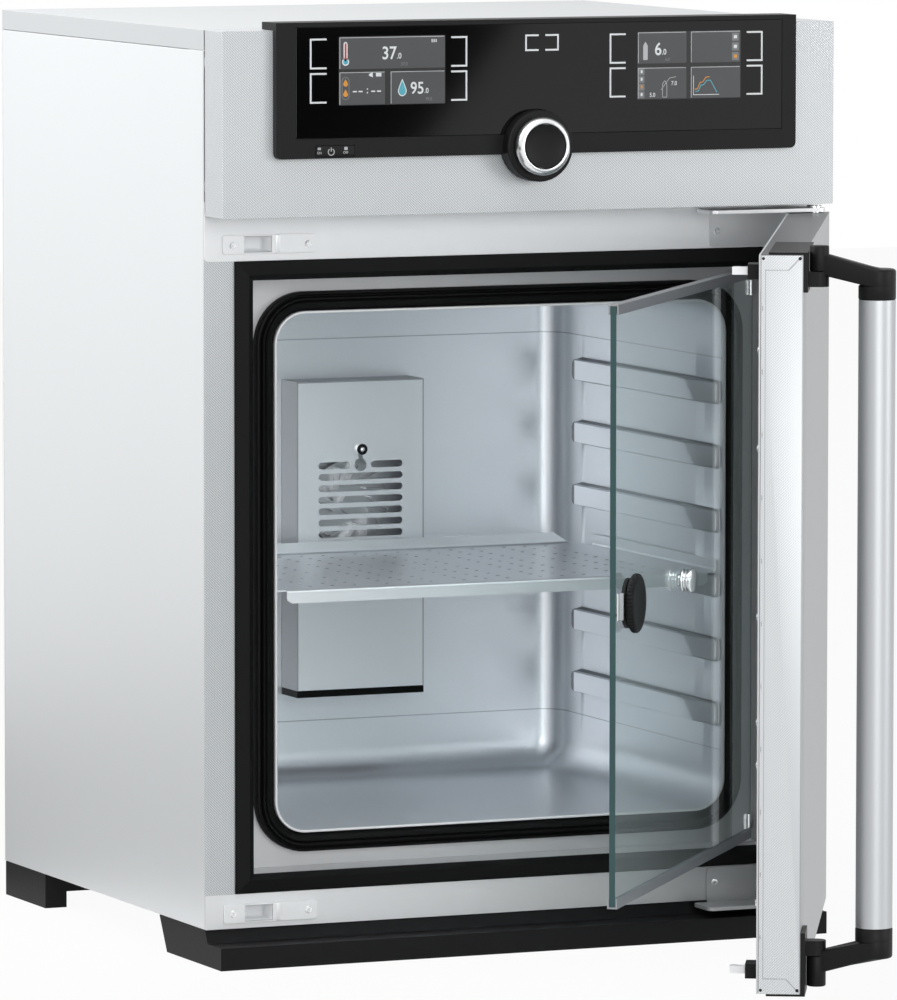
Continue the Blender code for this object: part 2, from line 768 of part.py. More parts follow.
def chamber_liner():
    """Deep-drawn box with rounded corners, and shelf ribs pressed in from both sides."""
    block = bmesh.new()
    bmesh.ops.create_cube(block, size=1.0)
    depth = CHAMBER_BACK - LIP_Y
    bmesh.ops.scale(block, vec=(CHAMBER_W, depth, CHAMBER_H), verts=block.verts)
    long_edges = [e for e in block.edges
                  if abs((e.verts[0].co - e.verts[1].co).normalized().y) > 0.9]
    bmesh.ops.bevel(block, geom=long_edges, offset=CORNER_R, segments=6, profile=0.5,
                    affect="EDGES")
    back_edges = [e for e in block.edges if min(v.co.y for v in e.verts) > depth / 2 - 1e-6]
    bmesh.ops.bevel(block, geom=back_edges, offset=BACK_R, segments=4, profile=0.5,
                    affect="EDGES")
    front = [f for f in block.faces if f.normal.y < -0.9]
    bmesh.ops.delete(block, geom=front, context="FACES")
    middle = (0, (LIP_Y + CHAMBER_BACK) / 2, (CHAMBER_LOW + CHAMBER_TOP) / 2)
    obj = mesh_object("liner", block, middle)
    wall = obj.modifiers.new("wall", "SOLIDIFY")
    wall.thickness = LINER_T
    wall.offset = 1.0
    wall.use_even_offset = True
    for side in (-1, 1):
        for index in range(RIB_COUNT):
            join(obj, shelf_rib(side, RIB_TOP - index * RIB_PITCH))
    shaft_hole = cylinder((0, CHAMBER_BACK, FAN_Z), FAN_SHAFT_R + FAN_SHAFT_CLEAR, THROUGH,
                          "Y", 16)
    cut(obj, shaft_hole)
    return finish(obj, "chamber_liner", LINER, smooth=35)


def shelf_rib(side, top):
    inner = side * (CHAMBER_HALF - RIB_PROUD)
    outer = side * (CHAMBER_HALF + LINER_T / 2)
    rib = box((min(inner, outer), RIB_FRONT, top - RIB_H), (max(inner, outer), RIB_BACK, top))
    soft = bmesh.new()
    soft.from_mesh(rib.data)
    inside = [e for e in soft.edges if min(-side * v.co.x for v in e.verts) > 0]
    ends = [e for e in soft.edges
            if abs((e.verts[0].co - e.verts[1].co).normalized().x) > 0.9]
    bmesh.ops.bevel(soft, geom=list(set(inside + ends)), offset=RIB_ROUND, segments=2,
                    profile=0.5, affect="EDGES")
    soft.to_mesh(rib.data)
    soft.free()
    return rib


def frame_seal(name, half, low, top, width, front, back, radius, edge):
    """A rubber frame around an opening, with rounded edges."""
    centre = (0, (low + top) / 2)
    steps = 6 if radius else 1
    if radius:
        outer = rounded(2 * (half + width), top - low + 2 * width, radius + width, centre, steps)
        inner = rounded(2 * half, top - low, radius, centre, steps)
    else:
        outer = rectangle(-half - width, low - width, half + width, top + width)
        inner = rectangle(-half, low, half, top)
    obj = plate([outer, inner], back - front, (0, (front + back) / 2, 0), FACE_FRONT, edge)
    return finish(obj, name, RUBBER, smooth=35)


def outer_gasket():
    front = -OUTER_SEAL_T - GAP
    return frame_seal("outer_gasket", RECESS_HALF, RECESS_LOW, RECESS_TOP, OUTER_SEAL_W,
                      front, -GAP, 0, OUTER_SEAL_ROUND)


def inner_gasket():
    reach = LINER_T + GAP
    return frame_seal("inner_gasket", CHAMBER_HALF + reach, CHAMBER_LOW - reach,
                      CHAMBER_TOP + reach, INNER_SEAL_W, INNER_SEAL_FRONT,
                      RECESS_DEPTH - GAP, CORNER_R + reach, INNER_SEAL_ROUND)


def shelf():
    """Perforated sheet tray: front edge turned down, back and sides turned up."""
    seat = RIB_TOP - SHELF_RIB * RIB_PITCH + GAP
    half = SHELF_W / 2
    corner = SHELF_CORNER
    outline = [(-half, SHELF_FRONT), (half, SHELF_FRONT), (half, SHELF_BACK - corner),
               (half - corner, SHELF_BACK), (-half + corner, SHELF_BACK),
               (-half, SHELF_BACK - corner)]
    obj = plate([outline], SHELF_T, (0, 0, seat + SHELF_T / 2), FACE_UP)
    wall_top = seat + SHELF_UPSTAND
    for side in (-1, 1):
        edge = side * half
        inner = edge - side * SHELF_T
        join(obj, box((min(edge, inner), SHELF_FRONT + SHELF_SIDE_START, seat),
                      (max(edge, inner), SHELF_BACK - corner - SHELF_FOLD_GAP, wall_top)))
    back_half = half - corner - SHELF_FOLD_GAP
    join(obj, box((-back_half, SHELF_BACK - SHELF_T, seat), (back_half, SHELF_BACK, wall_top)))
    lip_half = CHAMBER_HALF - RIB_PROUD - SHELF_LIP_GAP
    join(obj, box((-lip_half, SHELF_FRONT, seat - SHELF_FRONT_DROP),
                  (lip_half, SHELF_FRONT + SHELF_T, seat + SHELF_T)))
    return finish(obj, "shelf", LINER)


def fan_cover():
    """Sheet hood over the fan, open below, with a keyhole and rows of slots."""
    low = (-COVER_W / 2, COVER_FRONT, COVER_LOW)
    high = (COVER_W / 2, CHAMBER_BACK - GAP, COVER_TOP)
    obj = open_box(low, high, (0, 1, 0), COVER_T)
    hood = bmesh.new()
    hood.from_mesh(obj.data)
    floor = [f for f in hood.faces if f.normal.z < -0.5]
    bmesh.ops.delete(hood, geom=floor, context="FACES")
    hood.to_mesh(obj.data)
    hood.free()
    for row in range(COVER_SLOTS):
        z = COVER_SLOT_TOP - row * COVER_SLOT_PITCH
        for x, width in slot_row(row):
            cut(obj, slot_cutter(width, COVER_SLOT_H, THROUGH / 2, (x, COVER_FRONT, z)))
    key_z = COVER_SLOT_TOP
    cut(obj, cylinder((0, COVER_FRONT, key_z), COVER_SCREW_R + KEYHOLE_RIM, THROUGH / 2, "Y",
                      16))
    cut(obj, box((-KEYHOLE_HALF, COVER_FRONT - THROUGH / 4, key_z),
                 (KEYHOLE_HALF, COVER_FRONT + THROUGH / 4, COVER_SCREW_Z + KEYHOLE_HALF)))
    return finish(obj, "fan_cover", LINER)


def slot_row(row):
    """Each row is one long slot, but the first is split by the keyhole."""
    if row:
        return [(0, COVER_SLOT_W)]
    part = COVER_SLOT_W / 2 - KEYHOLE_BRIDGE
    middle = KEYHOLE_BRIDGE + part / 2
    return [(-middle, part), (middle, part)]


def cover_screw():
    """Knurled screw that hangs the hood: a round head in front and a stud to the back wall."""
    length = CHAMBER_BACK - GAP - COVER_FRONT
    head = COVER_SCREW_HEAD
    r = COVER_SCREW_R
    profile = [(0, head), (r - COVER_SCREW_ROUND, head), (r, head - COVER_SCREW_ROUND), (r, GAP),
               (COVER_STUD_R, GAP), (COVER_STUD_R, -length), (0, -length)]
    obj = turned(profile, (0, COVER_FRONT, COVER_SCREW_Z), FACE_FRONT, 20)
    return finish(obj, "cover_screw", BRIGHT)


def fan_impeller():
    """Radial fan wheel: a disc, a hub with its shaft, and backward-leaning blades."""
    back = CHAMBER_BACK - FAN_BACK_CLEAR
    disc_t = FAN_DISC_T
    obj = cylinder((0, back - disc_t / 2, FAN_Z), FAN_R, disc_t, "Y", 36)
    hub = cylinder((0, back - FAN_HUB_L / 2, FAN_Z), FAN_HUB_R, FAN_HUB_L, "Y", 20)
    shaft_back = CHAMBER_BACK + FAN_SHAFT_IN
    shaft_front = back - FAN_HUB_L / 2
    shaft = cylinder((0, (shaft_front + shaft_back) / 2, FAN_Z), FAN_SHAFT_R,
                     shaft_back - shaft_front, "Y", 16)
    join(obj, hub, shaft)
    for index in range(FAN_BLADES):
        blade = box((-BLADE_HALF_T, -FAN_T, -BLADE_HALF_H),
                    (BLADE_HALF_T, -disc_t / 2, BLADE_HALF_H))
        angle = 2 * math.pi * index / FAN_BLADES
        reach = FAN_R - BLADE_INSET
        blade.location = (reach * math.sin(angle), back - FAN_T / 2, FAN_Z + reach * math.cos(angle))
        blade.rotation_euler = (0, angle + math.radians(BLADE_LEAN), 0)
        join(obj, blade)
    return finish(obj, "fan_impeller", ALUMINIUM)


def fan_motor():
    """Motor can behind the back wall, with a mounting flange and the bore for the shaft."""
    front = CHAMBER_BACK + LINER_T + GAP
    flange = -MOTOR_FLANGE_T
    profile = [(0, 0), (MOTOR_FLANGE_R, 0), (MOTOR_FLANGE_R, flange), (MOTOR_R, flange),
               (MOTOR_R, MOTOR_ROUND - MOTOR_L), (MOTOR_R - MOTOR_ROUND, -MOTOR_L), (0, -MOTOR_L)]
    obj = turned(profile, (0, front, FAN_Z), FACE_FRONT, 28)
    cut(obj, cylinder((0, front, FAN_Z), FAN_SHAFT_R + GAP,
                      2 * (FAN_SHAFT_IN + FAN_SHAFT_CLEAR), "Y", 16))
    return finish(obj, "fan_motor", SMOOTH)


def gas_sensor():
    profile = [(0, SENSOR_L), (SENSOR_TIP_R, SENSOR_L), (SENSOR_R, SENSOR_L - SENSOR_ROUND),
               (SENSOR_R, SENSOR_COLLAR_T), (SENSOR_COLLAR_R, SENSOR_COLLAR_T),
               (SENSOR_COLLAR_R, 0), (0, 0)]
    obj = turned(profile, (0, CHAMBER_BACK - GAP, SENSOR_Z), FACE_FRONT, 20)
    return finish(obj, "gas_sensor", WHITE)


# Control panel

def control_housing():
    low = (-HALF, PANEL_Y, PANEL_BOTTOM)
    high = (HALF, -PANEL_BACK_GAP, CASE_H)
    obj = open_box(low, high, (0, 1, 0), SHEET)
    for side in (-1, 1):
        for drop in PANEL_TAB_DROPS:
            z = CASE_H - drop
            inner = side * (HALF - PANEL_TAB_W)
            outer = side * (HALF - SHEET / 2)
            join(obj, box((min(inner, outer), -PANEL_TAB_ROOT, z),
                          (max(inner, outer), -GAP, z + PANEL_TAB)))
    return finish(obj, "control_housing", TEXTURED)


def display_bezel():
    """Moulded bezel with a lip over the panel's top edge and a round collar for the knob."""
    top = CASE_H + GAP + BEZEL_LIP_H
    half = BEZEL_W / 2
    back = PANEL_Y - GAP
    left = BEZEL_SHIFT - half
    right = BEZEL_SHIFT + half
    outline = [(right, top), (left, top)]
    for middle, quarter in ((left + BEZEL_CORNER, 2), (right - BEZEL_CORNER, 3)):
        for step in range(5):
            angle = (quarter + step / 4) * math.pi / 2
            outline.append((middle + BEZEL_CORNER * math.cos(angle),
                            BEZEL_LOW + BEZEL_CORNER * (1 + math.sin(angle))))
    obj = plate([outline], BEZEL_T, (0, (BEZEL_Y + back) / 2, 0), FACE_FRONT)
    join(obj, box((left, BEZEL_Y + BEZEL_LIP_SET, CASE_H + GAP),
                  (right, back + BEZEL_LIP_REACH, top)))
    collar = cylinder((0, (COLLAR_Y + back) / 2, KNOB_Z), COLLAR_R, back - COLLAR_Y, "Y", 36)
    join(obj, round_edges(collar, COLLAR_ROUND))
    pocket_y = BEZEL_Y + GLASS_COVER_T + GAP
    cut(obj, cover_shape(GAP, COLLAR_R, THROUGH, pocket_y - THROUGH / 2))
    cut(obj, cylinder((0, COLLAR_Y, KNOB_Z), SPINDLE_R + GAP, 3 * THROUGH, "Y", 16))
    for side in (-1, 1):
        cut(obj, slot_box(DISPLAY_SHIFT + side * SCREEN_X, SCREEN_Z, SCREEN_W + 2 * GAP, SCREEN_H + 2 * GAP,
                          BEZEL_Y - THROUGH, back + THROUGH))
    cut(obj, slot_box(BUTTON_X, BUTTON_Z, BUTTON_W + 2 * GAP, BUTTON_H + 2 * GAP,
                      BEZEL_Y - THROUGH, back + THROUGH))
    return finish(obj, "display_bezel", BLACK)


def cover_shape(margin, collar, thickness, y):
    """The gloss cover's outline, notched round the knob's collar, grown by a margin."""
    left = DISPLAY_SHIFT - GLASS_COVER_W / 2 - margin
    right = DISPLAY_SHIFT + GLASS_COVER_W / 2 + margin
    low = GLASS_COVER_LOW - margin
    top = GLASS_COVER_TOP + margin
    ring = collar - margin + GAP
    start = math.asin((low - KNOB_Z) / ring)
    outline = [(right, top), (left, top), (left, low)]
    for step in range(13):
        angle = math.pi - start - step / 12 * (math.pi - 2 * start)
        outline.append((ring * math.cos(angle), KNOB_Z + ring * math.sin(angle)))
    outline.append((right, low))
    return plate([outline], thickness, (0, y, 0), FACE_FRONT)


def display_glass():
    obj = cover_shape(0, COLLAR_R + GAP, GLASS_COVER_T, BEZEL_Y + GLASS_COVER_T / 2)
    return finish(obj, "display_glass", GLOSS)


def display(name, side):
    front = BEZEL_Y + GLASS_COVER_T + GAP
    obj = slot_box(DISPLAY_SHIFT + side * SCREEN_X, SCREEN_Z, SCREEN_W, SCREEN_H, front,
                   front + SCREEN_T)
    return finish(obj, name, SCREEN)


def power_button():
    front = BEZEL_Y - BUTTON_PROUD
    obj = slot_box(BUTTON_X, BUTTON_Z, BUTTON_W, BUTTON_H, front, front + BUTTON_T)
    round_edges(obj, BUTTON_ROUND)
    return finish(obj, "power_button", BLACK)


def encoder_shaft():
    front = COLLAR_Y - GAP - SPINDLE_IN_CAP
    back = PANEL_Y - 2 * GAP
    obj = cylinder((0, (front + back) / 2, KNOB_Z), SPINDLE_R, back - front, "Y", 16)
    return finish(obj, "encoder_shaft", BRIGHT)


def knob_ring():
    """Turned ring around the cap, with rounded shoulders."""
    inner = KNOB_CAP_R + GAP
    top = KNOB_T + KNOB_CROWN
    profile = [(inner, 0), (inner, top), (inner + KNOB_FOOT, top + KNOB_CROWN),
               (KNOB_R - KNOB_SHOULDER, top), (KNOB_R, top - KNOB_SHOULDER), (KNOB_R, KNOB_FOOT),
               (KNOB_R - KNOB_FOOT, 0), (inner, 0)]
    place = (0, COLLAR_Y - KNOB_TRAVEL - GAP, KNOB_Z)
    obj = turned(profile, place, FACE_FRONT, 36)
    return finish(obj, "knob_ring", BRIGHT)


def knob_cap():
    """Dished cap, bored from behind for the encoder's shaft."""
    top = KNOB_T
    profile = [(0, top - CAP_DISH), (KNOB_CAP_R * 0.6, top - CAP_DISH / 2),
               (KNOB_CAP_R - KNOB_FOOT, top), (KNOB_CAP_R, top - KNOB_CROWN),
               (KNOB_CAP_R, KNOB_FOOT), (0, KNOB_FOOT)]
    place = (0, COLLAR_Y - KNOB_TRAVEL - GAP, KNOB_Z)
    obj = turned(profile, place, FACE_FRONT, 36)
    bore_front = COLLAR_Y - SPINDLE_IN_CAP - KNOB_TRAVEL - 2 * GAP
    cut(obj, cylinder((0, bore_front + THROUGH / 2, KNOB_Z), SPINDLE_R + GAP / 3, THROUGH,
                      "Y", 16))
    return finish(obj, "knob_cap", BLACK)


# Back fittings

def mains_inlet():
    """Appliance inlet: a socket block with its recess and three flat pins."""
    face = FRAME_TO_BACK + INLET_PROUD
    obj = box((INLET_X - INLET_W / 2, FRAME_TO_BACK - INLET_DEPTH, INLET_Z - INLET_H / 2),
              (INLET_X + INLET_W / 2, face, INLET_Z + INLET_H / 2))
    half_w = INLET_W / 2 + INLET_RIM
    half_h = INLET_H / 2 + INLET_RIM
    flange = box((INLET_X - half_w, FRAME_TO_BACK + GAP, INLET_Z - half_h),
                 (INLET_X + half_w, face, INLET_Z + half_h))
    join(obj, flange)
    cut(obj, box((INLET_X - SOCKET_HALF_W, face - SOCKET_DEPTH, INLET_Z - SOCKET_HALF_H),
                 (INLET_X + SOCKET_HALF_W, face + THROUGH, INLET_Z + SOCKET_HALF_H)))
    for dx, dz in PIN_PLACES:
        x = INLET_X + dx
        z = INLET_Z + dz
        join(obj, box((x - PIN_HALF_W, face - PIN_ROOT, z - PIN_HALF_H),
                      (x + PIN_HALF_W, face - PIN_TIP, z + PIN_HALF_H)))
    return finish(obj, "mains_inlet", BLACK)


def gas_inlet():
    """Hose nozzle for the gas supply: a flange, barbs and a bore."""
    profile = [(GAS_TIP_R, GAS_L)]
    for barb in GAS_BARBS:
        profile += [(GAS_STEM_R, barb), (GAS_NECK_R, barb)]
    profile += [(GAS_NECK_R, GAS_FLANGE_T), (GAS_R, GAS_FLANGE_T), (GAS_R, GAP),
                (GAS_STEM_R, GAP), (GAS_STEM_R, -GAS_TAIL), (GAS_BORE_R, -GAS_TAIL),
                (GAS_BORE_R, GAS_L), (GAS_TIP_R, GAS_L)]
    obj = turned(profile, (GAS_X, FRAME_TO_BACK, GAS_Z), (-math.pi / 2, 0, 0), 20)
    return finish(obj, "gas_inlet", BRIGHT)


# Hinges and strikes on the frame

def strike_plate(name, z):
    """Strike with a raised lip beside its slot, which the door's hook catches behind."""
    front = FASCIA_FRONT - GAP - STRIKE_T
    outline = rounded(STRIKE_W, STRIKE_H, STRIKE_CORNER, (STRIKE_X, z), 3)
    slot = rectangle(HOOK_X - SLOT_W / 2, z - SLOT_H / 2 + STRIKE_LIP,
                     HOOK_X + SLOT_W / 2, z + SLOT_H / 2 - STRIKE_LIP)
    obj = plate([outline, slot], STRIKE_T, (0, front + STRIKE_T / 2, 0), FACE_FRONT)
    return finish(obj, name, SMOOTH)


def hinge_bracket(name, plate_z, flange_low, flange_top):
    """Angle bracket: a flange on the frame and a plate that carries the hinge pin."""
    flange_back = FASCIA_FRONT - GAP
    flange_t = BRACKET_FLANGE_T
    flange_front = flange_back - flange_t
    front = HINGE_Y - BRACKET_OVERHANG
    right = HALF - BRACKET_EDGE
    outline = rounded(right - BRACKET_LEFT, flange_top - flange_low, BRACKET_CORNER,
                      ((right + BRACKET_LEFT) / 2, (flange_low + flange_top) / 2), 4)
    obj = plate([outline], flange_t, (0, (flange_front + flange_back) / 2, 0), FACE_FRONT)
    ledge_back = flange_back - flange_t / 4
    ledge_right = HALF - LEDGE_EDGE
    shelf_outline = rounded(ledge_right - BRACKET_PLATE_LEFT, ledge_back - front, LEDGE_CORNER,
                            ((ledge_right + BRACKET_PLATE_LEFT) / 2,
                             (front + ledge_back) / 2), 4)
    ledge = plate([shelf_outline], BRACKET_T, (0, 0, plate_z), FACE_UP)
    join(obj, ledge)
    cut(obj, cylinder((HINGE_X, HINGE_Y, plate_z), HINGE_PIN_R + GAP, THROUGH, "Z", 20))
    return finish(obj, name, SMOOTH)


def hinge_pin(name, plate_z, into):
    """Pin through the bracket: a low head outside and a shank into the door's bush."""
    shank = BRACKET_T / 2 + BRACKET_CLEAR + HINGE_PIN_IN
    head = BRACKET_T / 2 + GAP
    rim = HINGE_PIN_R + PIN_HEAD_RIM
    profile = [(0, head + PIN_HEAD_T), (rim - PIN_CHAMFER / 2, head + PIN_HEAD_T),
               (rim, head + PIN_HEAD_T - PIN_CHAMFER / 2), (rim, head), (HINGE_PIN_R, head),
               (HINGE_PIN_R, PIN_CHAMFER - shank), (HINGE_PIN_R - PIN_CHAMFER, -shank),
               (0, -shank)]
    turn = (0, 0, 0) if into < 0 else (math.pi, 0, 0)
    obj = turned(profile, (HINGE_X, HINGE_Y, plate_z), turn, 24)
    return finish(obj, name, BRIGHT)


def glass_hinge(name, wall_z, direction):
    """Pivot of the glass door: a foot on the recess wall and a pin into the door's barrel."""
    foot = HINGE_FOOT_H
    top = CHANNEL_H + CLAMP_SPACE + CLAMP_H * HINGE_PIN_SHARE
    profile = [(0, top), (GLASS_PIN_R, top), (GLASS_PIN_R, foot), (BARREL_R, foot),
               (BARREL_R, 0), (0, 0)]
    turn = (0, 0, 0) if direction > 0 else (math.pi, 0, 0)
    obj = turned(profile, (GLASS_AXIS_X, GLASS_AXIS_Y, wall_z + direction * GAP), turn, 16)
    return finish(obj, name, BRIGHT)


def latch_striker():
    """Small keeper bar on the recess wall, beside the glass door's free edge."""
    wall = -RECESS_HALF + GAP
    obj = box((wall, GLASS_Y - STRIKER_FRONT, LATCH_Z - STRIKER_H / 2),
              (wall + STRIKER_T, GLASS_Y - STRIKER_BACK, LATCH_Z + STRIKER_H / 2))
    round_edges(obj, STRIKER_ROUND)
    return finish(obj, "latch_striker", WHITE)


# Main door, modelled closed

def door_outer_shell(door):
    low = (-DOOR_HALF, PANEL_Y, DOOR_LOW)
    high = (DOOR_HALF, DOOR_IN - SHEET - GAP, DOOR_TOP)
    obj = open_box(low, high, (0, 1, 0), DOOR_SHEET)
    for z in (DOOR_LOW, DOOR_TOP):
        cut(obj, cylinder((HINGE_X, HINGE_Y, z), HINGE_BUSH_R + GAP, THROUGH / 2, "Z", 20))
    return finish(obj, "door_outer_shell", TEXTURED, door)


def door_inner_panel(door):
    outline = rectangle(-DOOR_HALF, DOOR_LOW, DOOR_HALF, DOOR_TOP)
    holes = [rectangle(HOOK_X - HOUSING_W / 2 - GAP, z - HOUSING_H / 2 - GAP,
                       HOOK_X + HOUSING_W / 2 + GAP, z + HOUSING_H / 2 + GAP)
             for z in (LOWER_HOOK_Z, UPPER_HOOK_Z)]
    place = (0, DOOR_IN - SHEET / 2, 0)
    obj = plate([outline] + holes, SHEET, place, FACE_FRONT)
    return finish(obj, "door_inner_panel", SMOOTH, door)


def hinge_bush(name, face_z, into, door):
    """Plastic bush in the door's edge: a tube with an inner collar."""
    bore = HINGE_PIN_R + GAP
    depth = HINGE_PIN_IN + PIN_CHAMFER
    rim = HINGE_BUSH_R + BUSH_RIM
    seat = -DOOR_SHEET - GAP
    wall = HINGE_BUSH_R
    profile = [(bore, 0), (wall, 0), (wall, seat), (rim, seat), (rim, -BUSH_RIM_END),
               (wall, -BUSH_RIM_END), (wall, -depth), (bore, -depth), (bore, 0)]
    turn = (0, 0, 0) if into < 0 else (math.pi, 0, 0)
    obj = turned(profile, (HINGE_X, HINGE_Y, face_z), turn, 20)
    return finish(obj, name, BLACK, door)


def hook_housing(name, z, door):
    """Guide for a lock hook: a nose that enters the strike, a flange and the hook's pin."""
    x = HOOK_X
    obj = slot_box(x, z, HOUSING_W, HOUSING_H, HOUSING_BACK, HOUSING_FRONT)
    flange_back = DOOR_IN + GAP
    join(obj, slot_box(x, z, HOUSING_FLANGE_W, HOUSING_FLANGE_H, flange_back,
                       min(flange_back + HOUSING_FLANGE_T, FASCIA_FRONT - STRIKE_T - 3 * GAP)))
    cut(obj, slot_box(x, z, HOUSING_CHANNEL_W, HOUSING_CHANNEL_H, HOUSING_BACK + HOUSING_WALL,
                      HOUSING_FRONT + THROUGH))
    pin_length = HOUSING_H - HOUSING_PIN_TRIM
    join(obj, cylinder((x, HOOK_PIVOT_Y, z), HOOK_PIN_R, pin_length, "Z", 16))
    return finish(obj, name, BLACK, door)


def lock_hook(name, z, swivel):
    """Flat lock hook: an eye on its pin, an arm and a barb at the tip."""
    eye = HOOK_W / 2 + HOOK_EYE_RIM
    outline = []
    for step in range(13):
        angle = math.pi * 0.85 + step / 12 * math.pi * 1.3
        outline.append((eye * math.cos(angle), eye * math.sin(angle)))
    tip = HOOK_TIP_Y - HOOK_PIVOT_Y
    half = HOOK_W / 2
    outline += [(half, tip - BARB_START), (half + HOOK_BARB, tip - BARB_TOP),
                (half + HOOK_BARB, tip - BARB_END), (half, tip), (-half, tip)]
    obj = plate([outline, ring_points(HOOK_PIN_R + GAP, sides=16)], HOOK_H,
                (HOOK_X, HOOK_PIVOT_Y, z), FACE_UP)
    return finish(obj, name, BRIGHT, swivel)


def handle_bracket(name, edge_z, height, direction, lug_inset, door):
    """Black plate on the door's face that wraps over its edge and carries the handle's pin."""
    plate_front = PANEL_Y - GAP - HANDLE_PLATE_T
    plate_back = PANEL_Y - GAP
    left = -DOOR_HALF
    face = edge_z + direction * (GAP + HANDLE_CAP_T)
    inner = edge_z - direction * (height - HANDLE_CAP_T)
    obj = box((left, plate_front, min(face, inner)),
              (left + HANDLE_PLATE_W, plate_back, max(face, inner)))
    cap = box((left, plate_front + HANDLE_CAP_SET, min(face, edge_z + direction * GAP)),
              (left + HANDLE_CAP_L, PANEL_Y + HANDLE_CAP_REACH, max(face, edge_z + direction * GAP)))
    join(obj, cap)
    lug_z = inner + direction * (lug_inset + LUG_T / 2)
    lug = box((HANDLE_X - HANDLE_BOSS_R, HANDLE_PIVOT_Y, lug_z - LUG_T / 2),
              (HANDLE_X + HANDLE_BOSS_R, plate_front + HANDLE_PLATE_T / 2, lug_z + LUG_T / 2))
    knuckle = cylinder((HANDLE_X, HANDLE_PIVOT_Y, lug_z), HANDLE_BOSS_R, LUG_T, "Z", 24)
    pin_length = LUG_T / 2 + HANDLE_PIN_IN
    pin = cylinder((HANDLE_X, HANDLE_PIVOT_Y, lug_z + direction * pin_length / 2),
                   HANDLE_PIN_R, pin_length, "Z", 16)
    join(obj, lug, knuckle, pin)
    return finish(obj, name, BLACK, door)


def handle_arm(name, boss_start, boss_height, direction, tube_end, swivel):
    """Moulded arm: a pivot boss, a sloping arm and an elbow over the tube's end."""
    boss = cylinder((HANDLE_X, HANDLE_PIVOT_Y, boss_start + direction * boss_height / 2),
                    HANDLE_BOSS_R, boss_height, "Z", 24)
    elbow_z = tube_end + direction * (HANDLE_ARM_H / 2 + GAP)
    root_z = elbow_z + direction * HANDLE_DROP
    tip_y = HANDLE_TUBE_Y
    root_y = HANDLE_PIVOT_Y
    h = HANDLE_ARM_H / 2
    outline = [(root_y, root_z - h), (root_y, root_z + h), (tip_y, elbow_z + h),
               (tip_y, elbow_z - h)]
    arm = plate([outline], HANDLE_ARM_W, (HANDLE_X, 0, 0), FACE_SIDE)
    cut(arm, box((-1, HANDLE_PIVOT_Y - HANDLE_ROOT, -1), (1, 1, 2)))
    lug_side = boss_start - direction * 1.0
    cut(arm, box((-1, HANDLE_PIVOT_Y - HANDLE_BOSS_R - GAP, min(lug_side, boss_start)),
                 (1, 1, max(lug_side, boss_start))))
    obj = cylinder((HANDLE_X, HANDLE_TUBE_Y, elbow_z), HANDLE_TUBE_R, HANDLE_ARM_H, "Z", 32)
    join(obj, arm, boss)
    bore = cylinder((HANDLE_X, HANDLE_PIVOT_Y, boss_start), HANDLE_PIN_R + GAP,
                    2 * HANDLE_PIN_IN + GAP, "Z", 16)
    cut(obj, bore)
    return finish(obj, name, BLACK, swivel, smooth=35)


def handle_tube(swivel):
    length = HANDLE_TUBE_TOP - HANDLE_TUBE_LOW
    middle = (HANDLE_X, HANDLE_TUBE_Y, (HANDLE_TUBE_TOP + HANDLE_TUBE_LOW) / 2)
    obj = cylinder(middle, HANDLE_TUBE_R, length, "Z", 32)
    return finish(obj, "handle_tube", ALUMINIUM, swivel, smooth=35)


# Glass door, modelled closed

def glass_pane(door):
    slot = (CHANNEL_T - GLASS_T) / 2
    low = GLASS_LOW + slot
    top = GLASS_TOP - slot
    outline = rectangle(-GLASS_HALF_W, low, GLASS_HALF_W, top)
    holes = [ring_points(PORT_STEM_R + GAP, (PORT_X, PORT_Z), 20),
             ring_points(LATCH_HOLE_R, (LATCH_X, LATCH_Z), 20)]
    obj = plate([outline] + holes, GLASS_T, (0, GLASS_AXIS_Y, 0), FACE_FRONT)
    return finish(obj, "glass_pane", GLASS, door)


def glass_channel(name, z, direction, door):
    """Aluminium channel that grips the glass's top or bottom edge."""
    wall = (CHANNEL_T - GLASS_T) / 2 - GAP
    half_t = CHANNEL_T / 2
    inner = half_t - wall
    outline = [(-half_t, 0), (half_t, 0), (half_t, CHANNEL_H), (inner, CHANNEL_H),
               (inner, wall), (-inner, wall), (-inner, CHANNEL_H), (-half_t, CHANNEL_H)]
    outline = [(y, z + direction * h) for y, h in outline]
    length = 2 * GLASS_HALF_W - CHANNEL_END
    obj = plate([outline], length, (-CHANNEL_END / 2, GLASS_AXIS_Y, 0), FACE_SIDE)
    return finish(obj, name, ALUMINIUM, door)


def glass_clamp(name, start_z, direction, door):
    """Clamp on the glass's hinge edge, with the barrel that turns on the fixed pin."""
    low = min(start_z, start_z + direction * CLAMP_H)
    top = low + CLAMP_H
    jaw = GLASS_T / 2 + GAP
    outer = jaw + CLAMP_JAW
    middle = (low + top) / 2
    obj = box((GLASS_HALF_W - CLAMP_W, GLASS_AXIS_Y - outer, low),
              (GLASS_AXIS_X, GLASS_AXIS_Y + outer, top))
    barrel = cylinder((GLASS_AXIS_X, GLASS_AXIS_Y, middle), BARREL_R, CLAMP_H, "Z", 16)
    join(obj, barrel)
    cut(obj, box((GLASS_HALF_W - CLAMP_W - THROUGH, GLASS_AXIS_Y - jaw, low - THROUGH),
                 (GLASS_HALF_W + GAP, GLASS_AXIS_Y + jaw, top + THROUGH)))
    cut(obj, cylinder((GLASS_AXIS_X, GLASS_AXIS_Y, middle), GLASS_PIN_R + GAP, CLAMP_H + THROUGH,
                      "Z", 16))
    return finish(obj, name, BRIGHT, door)


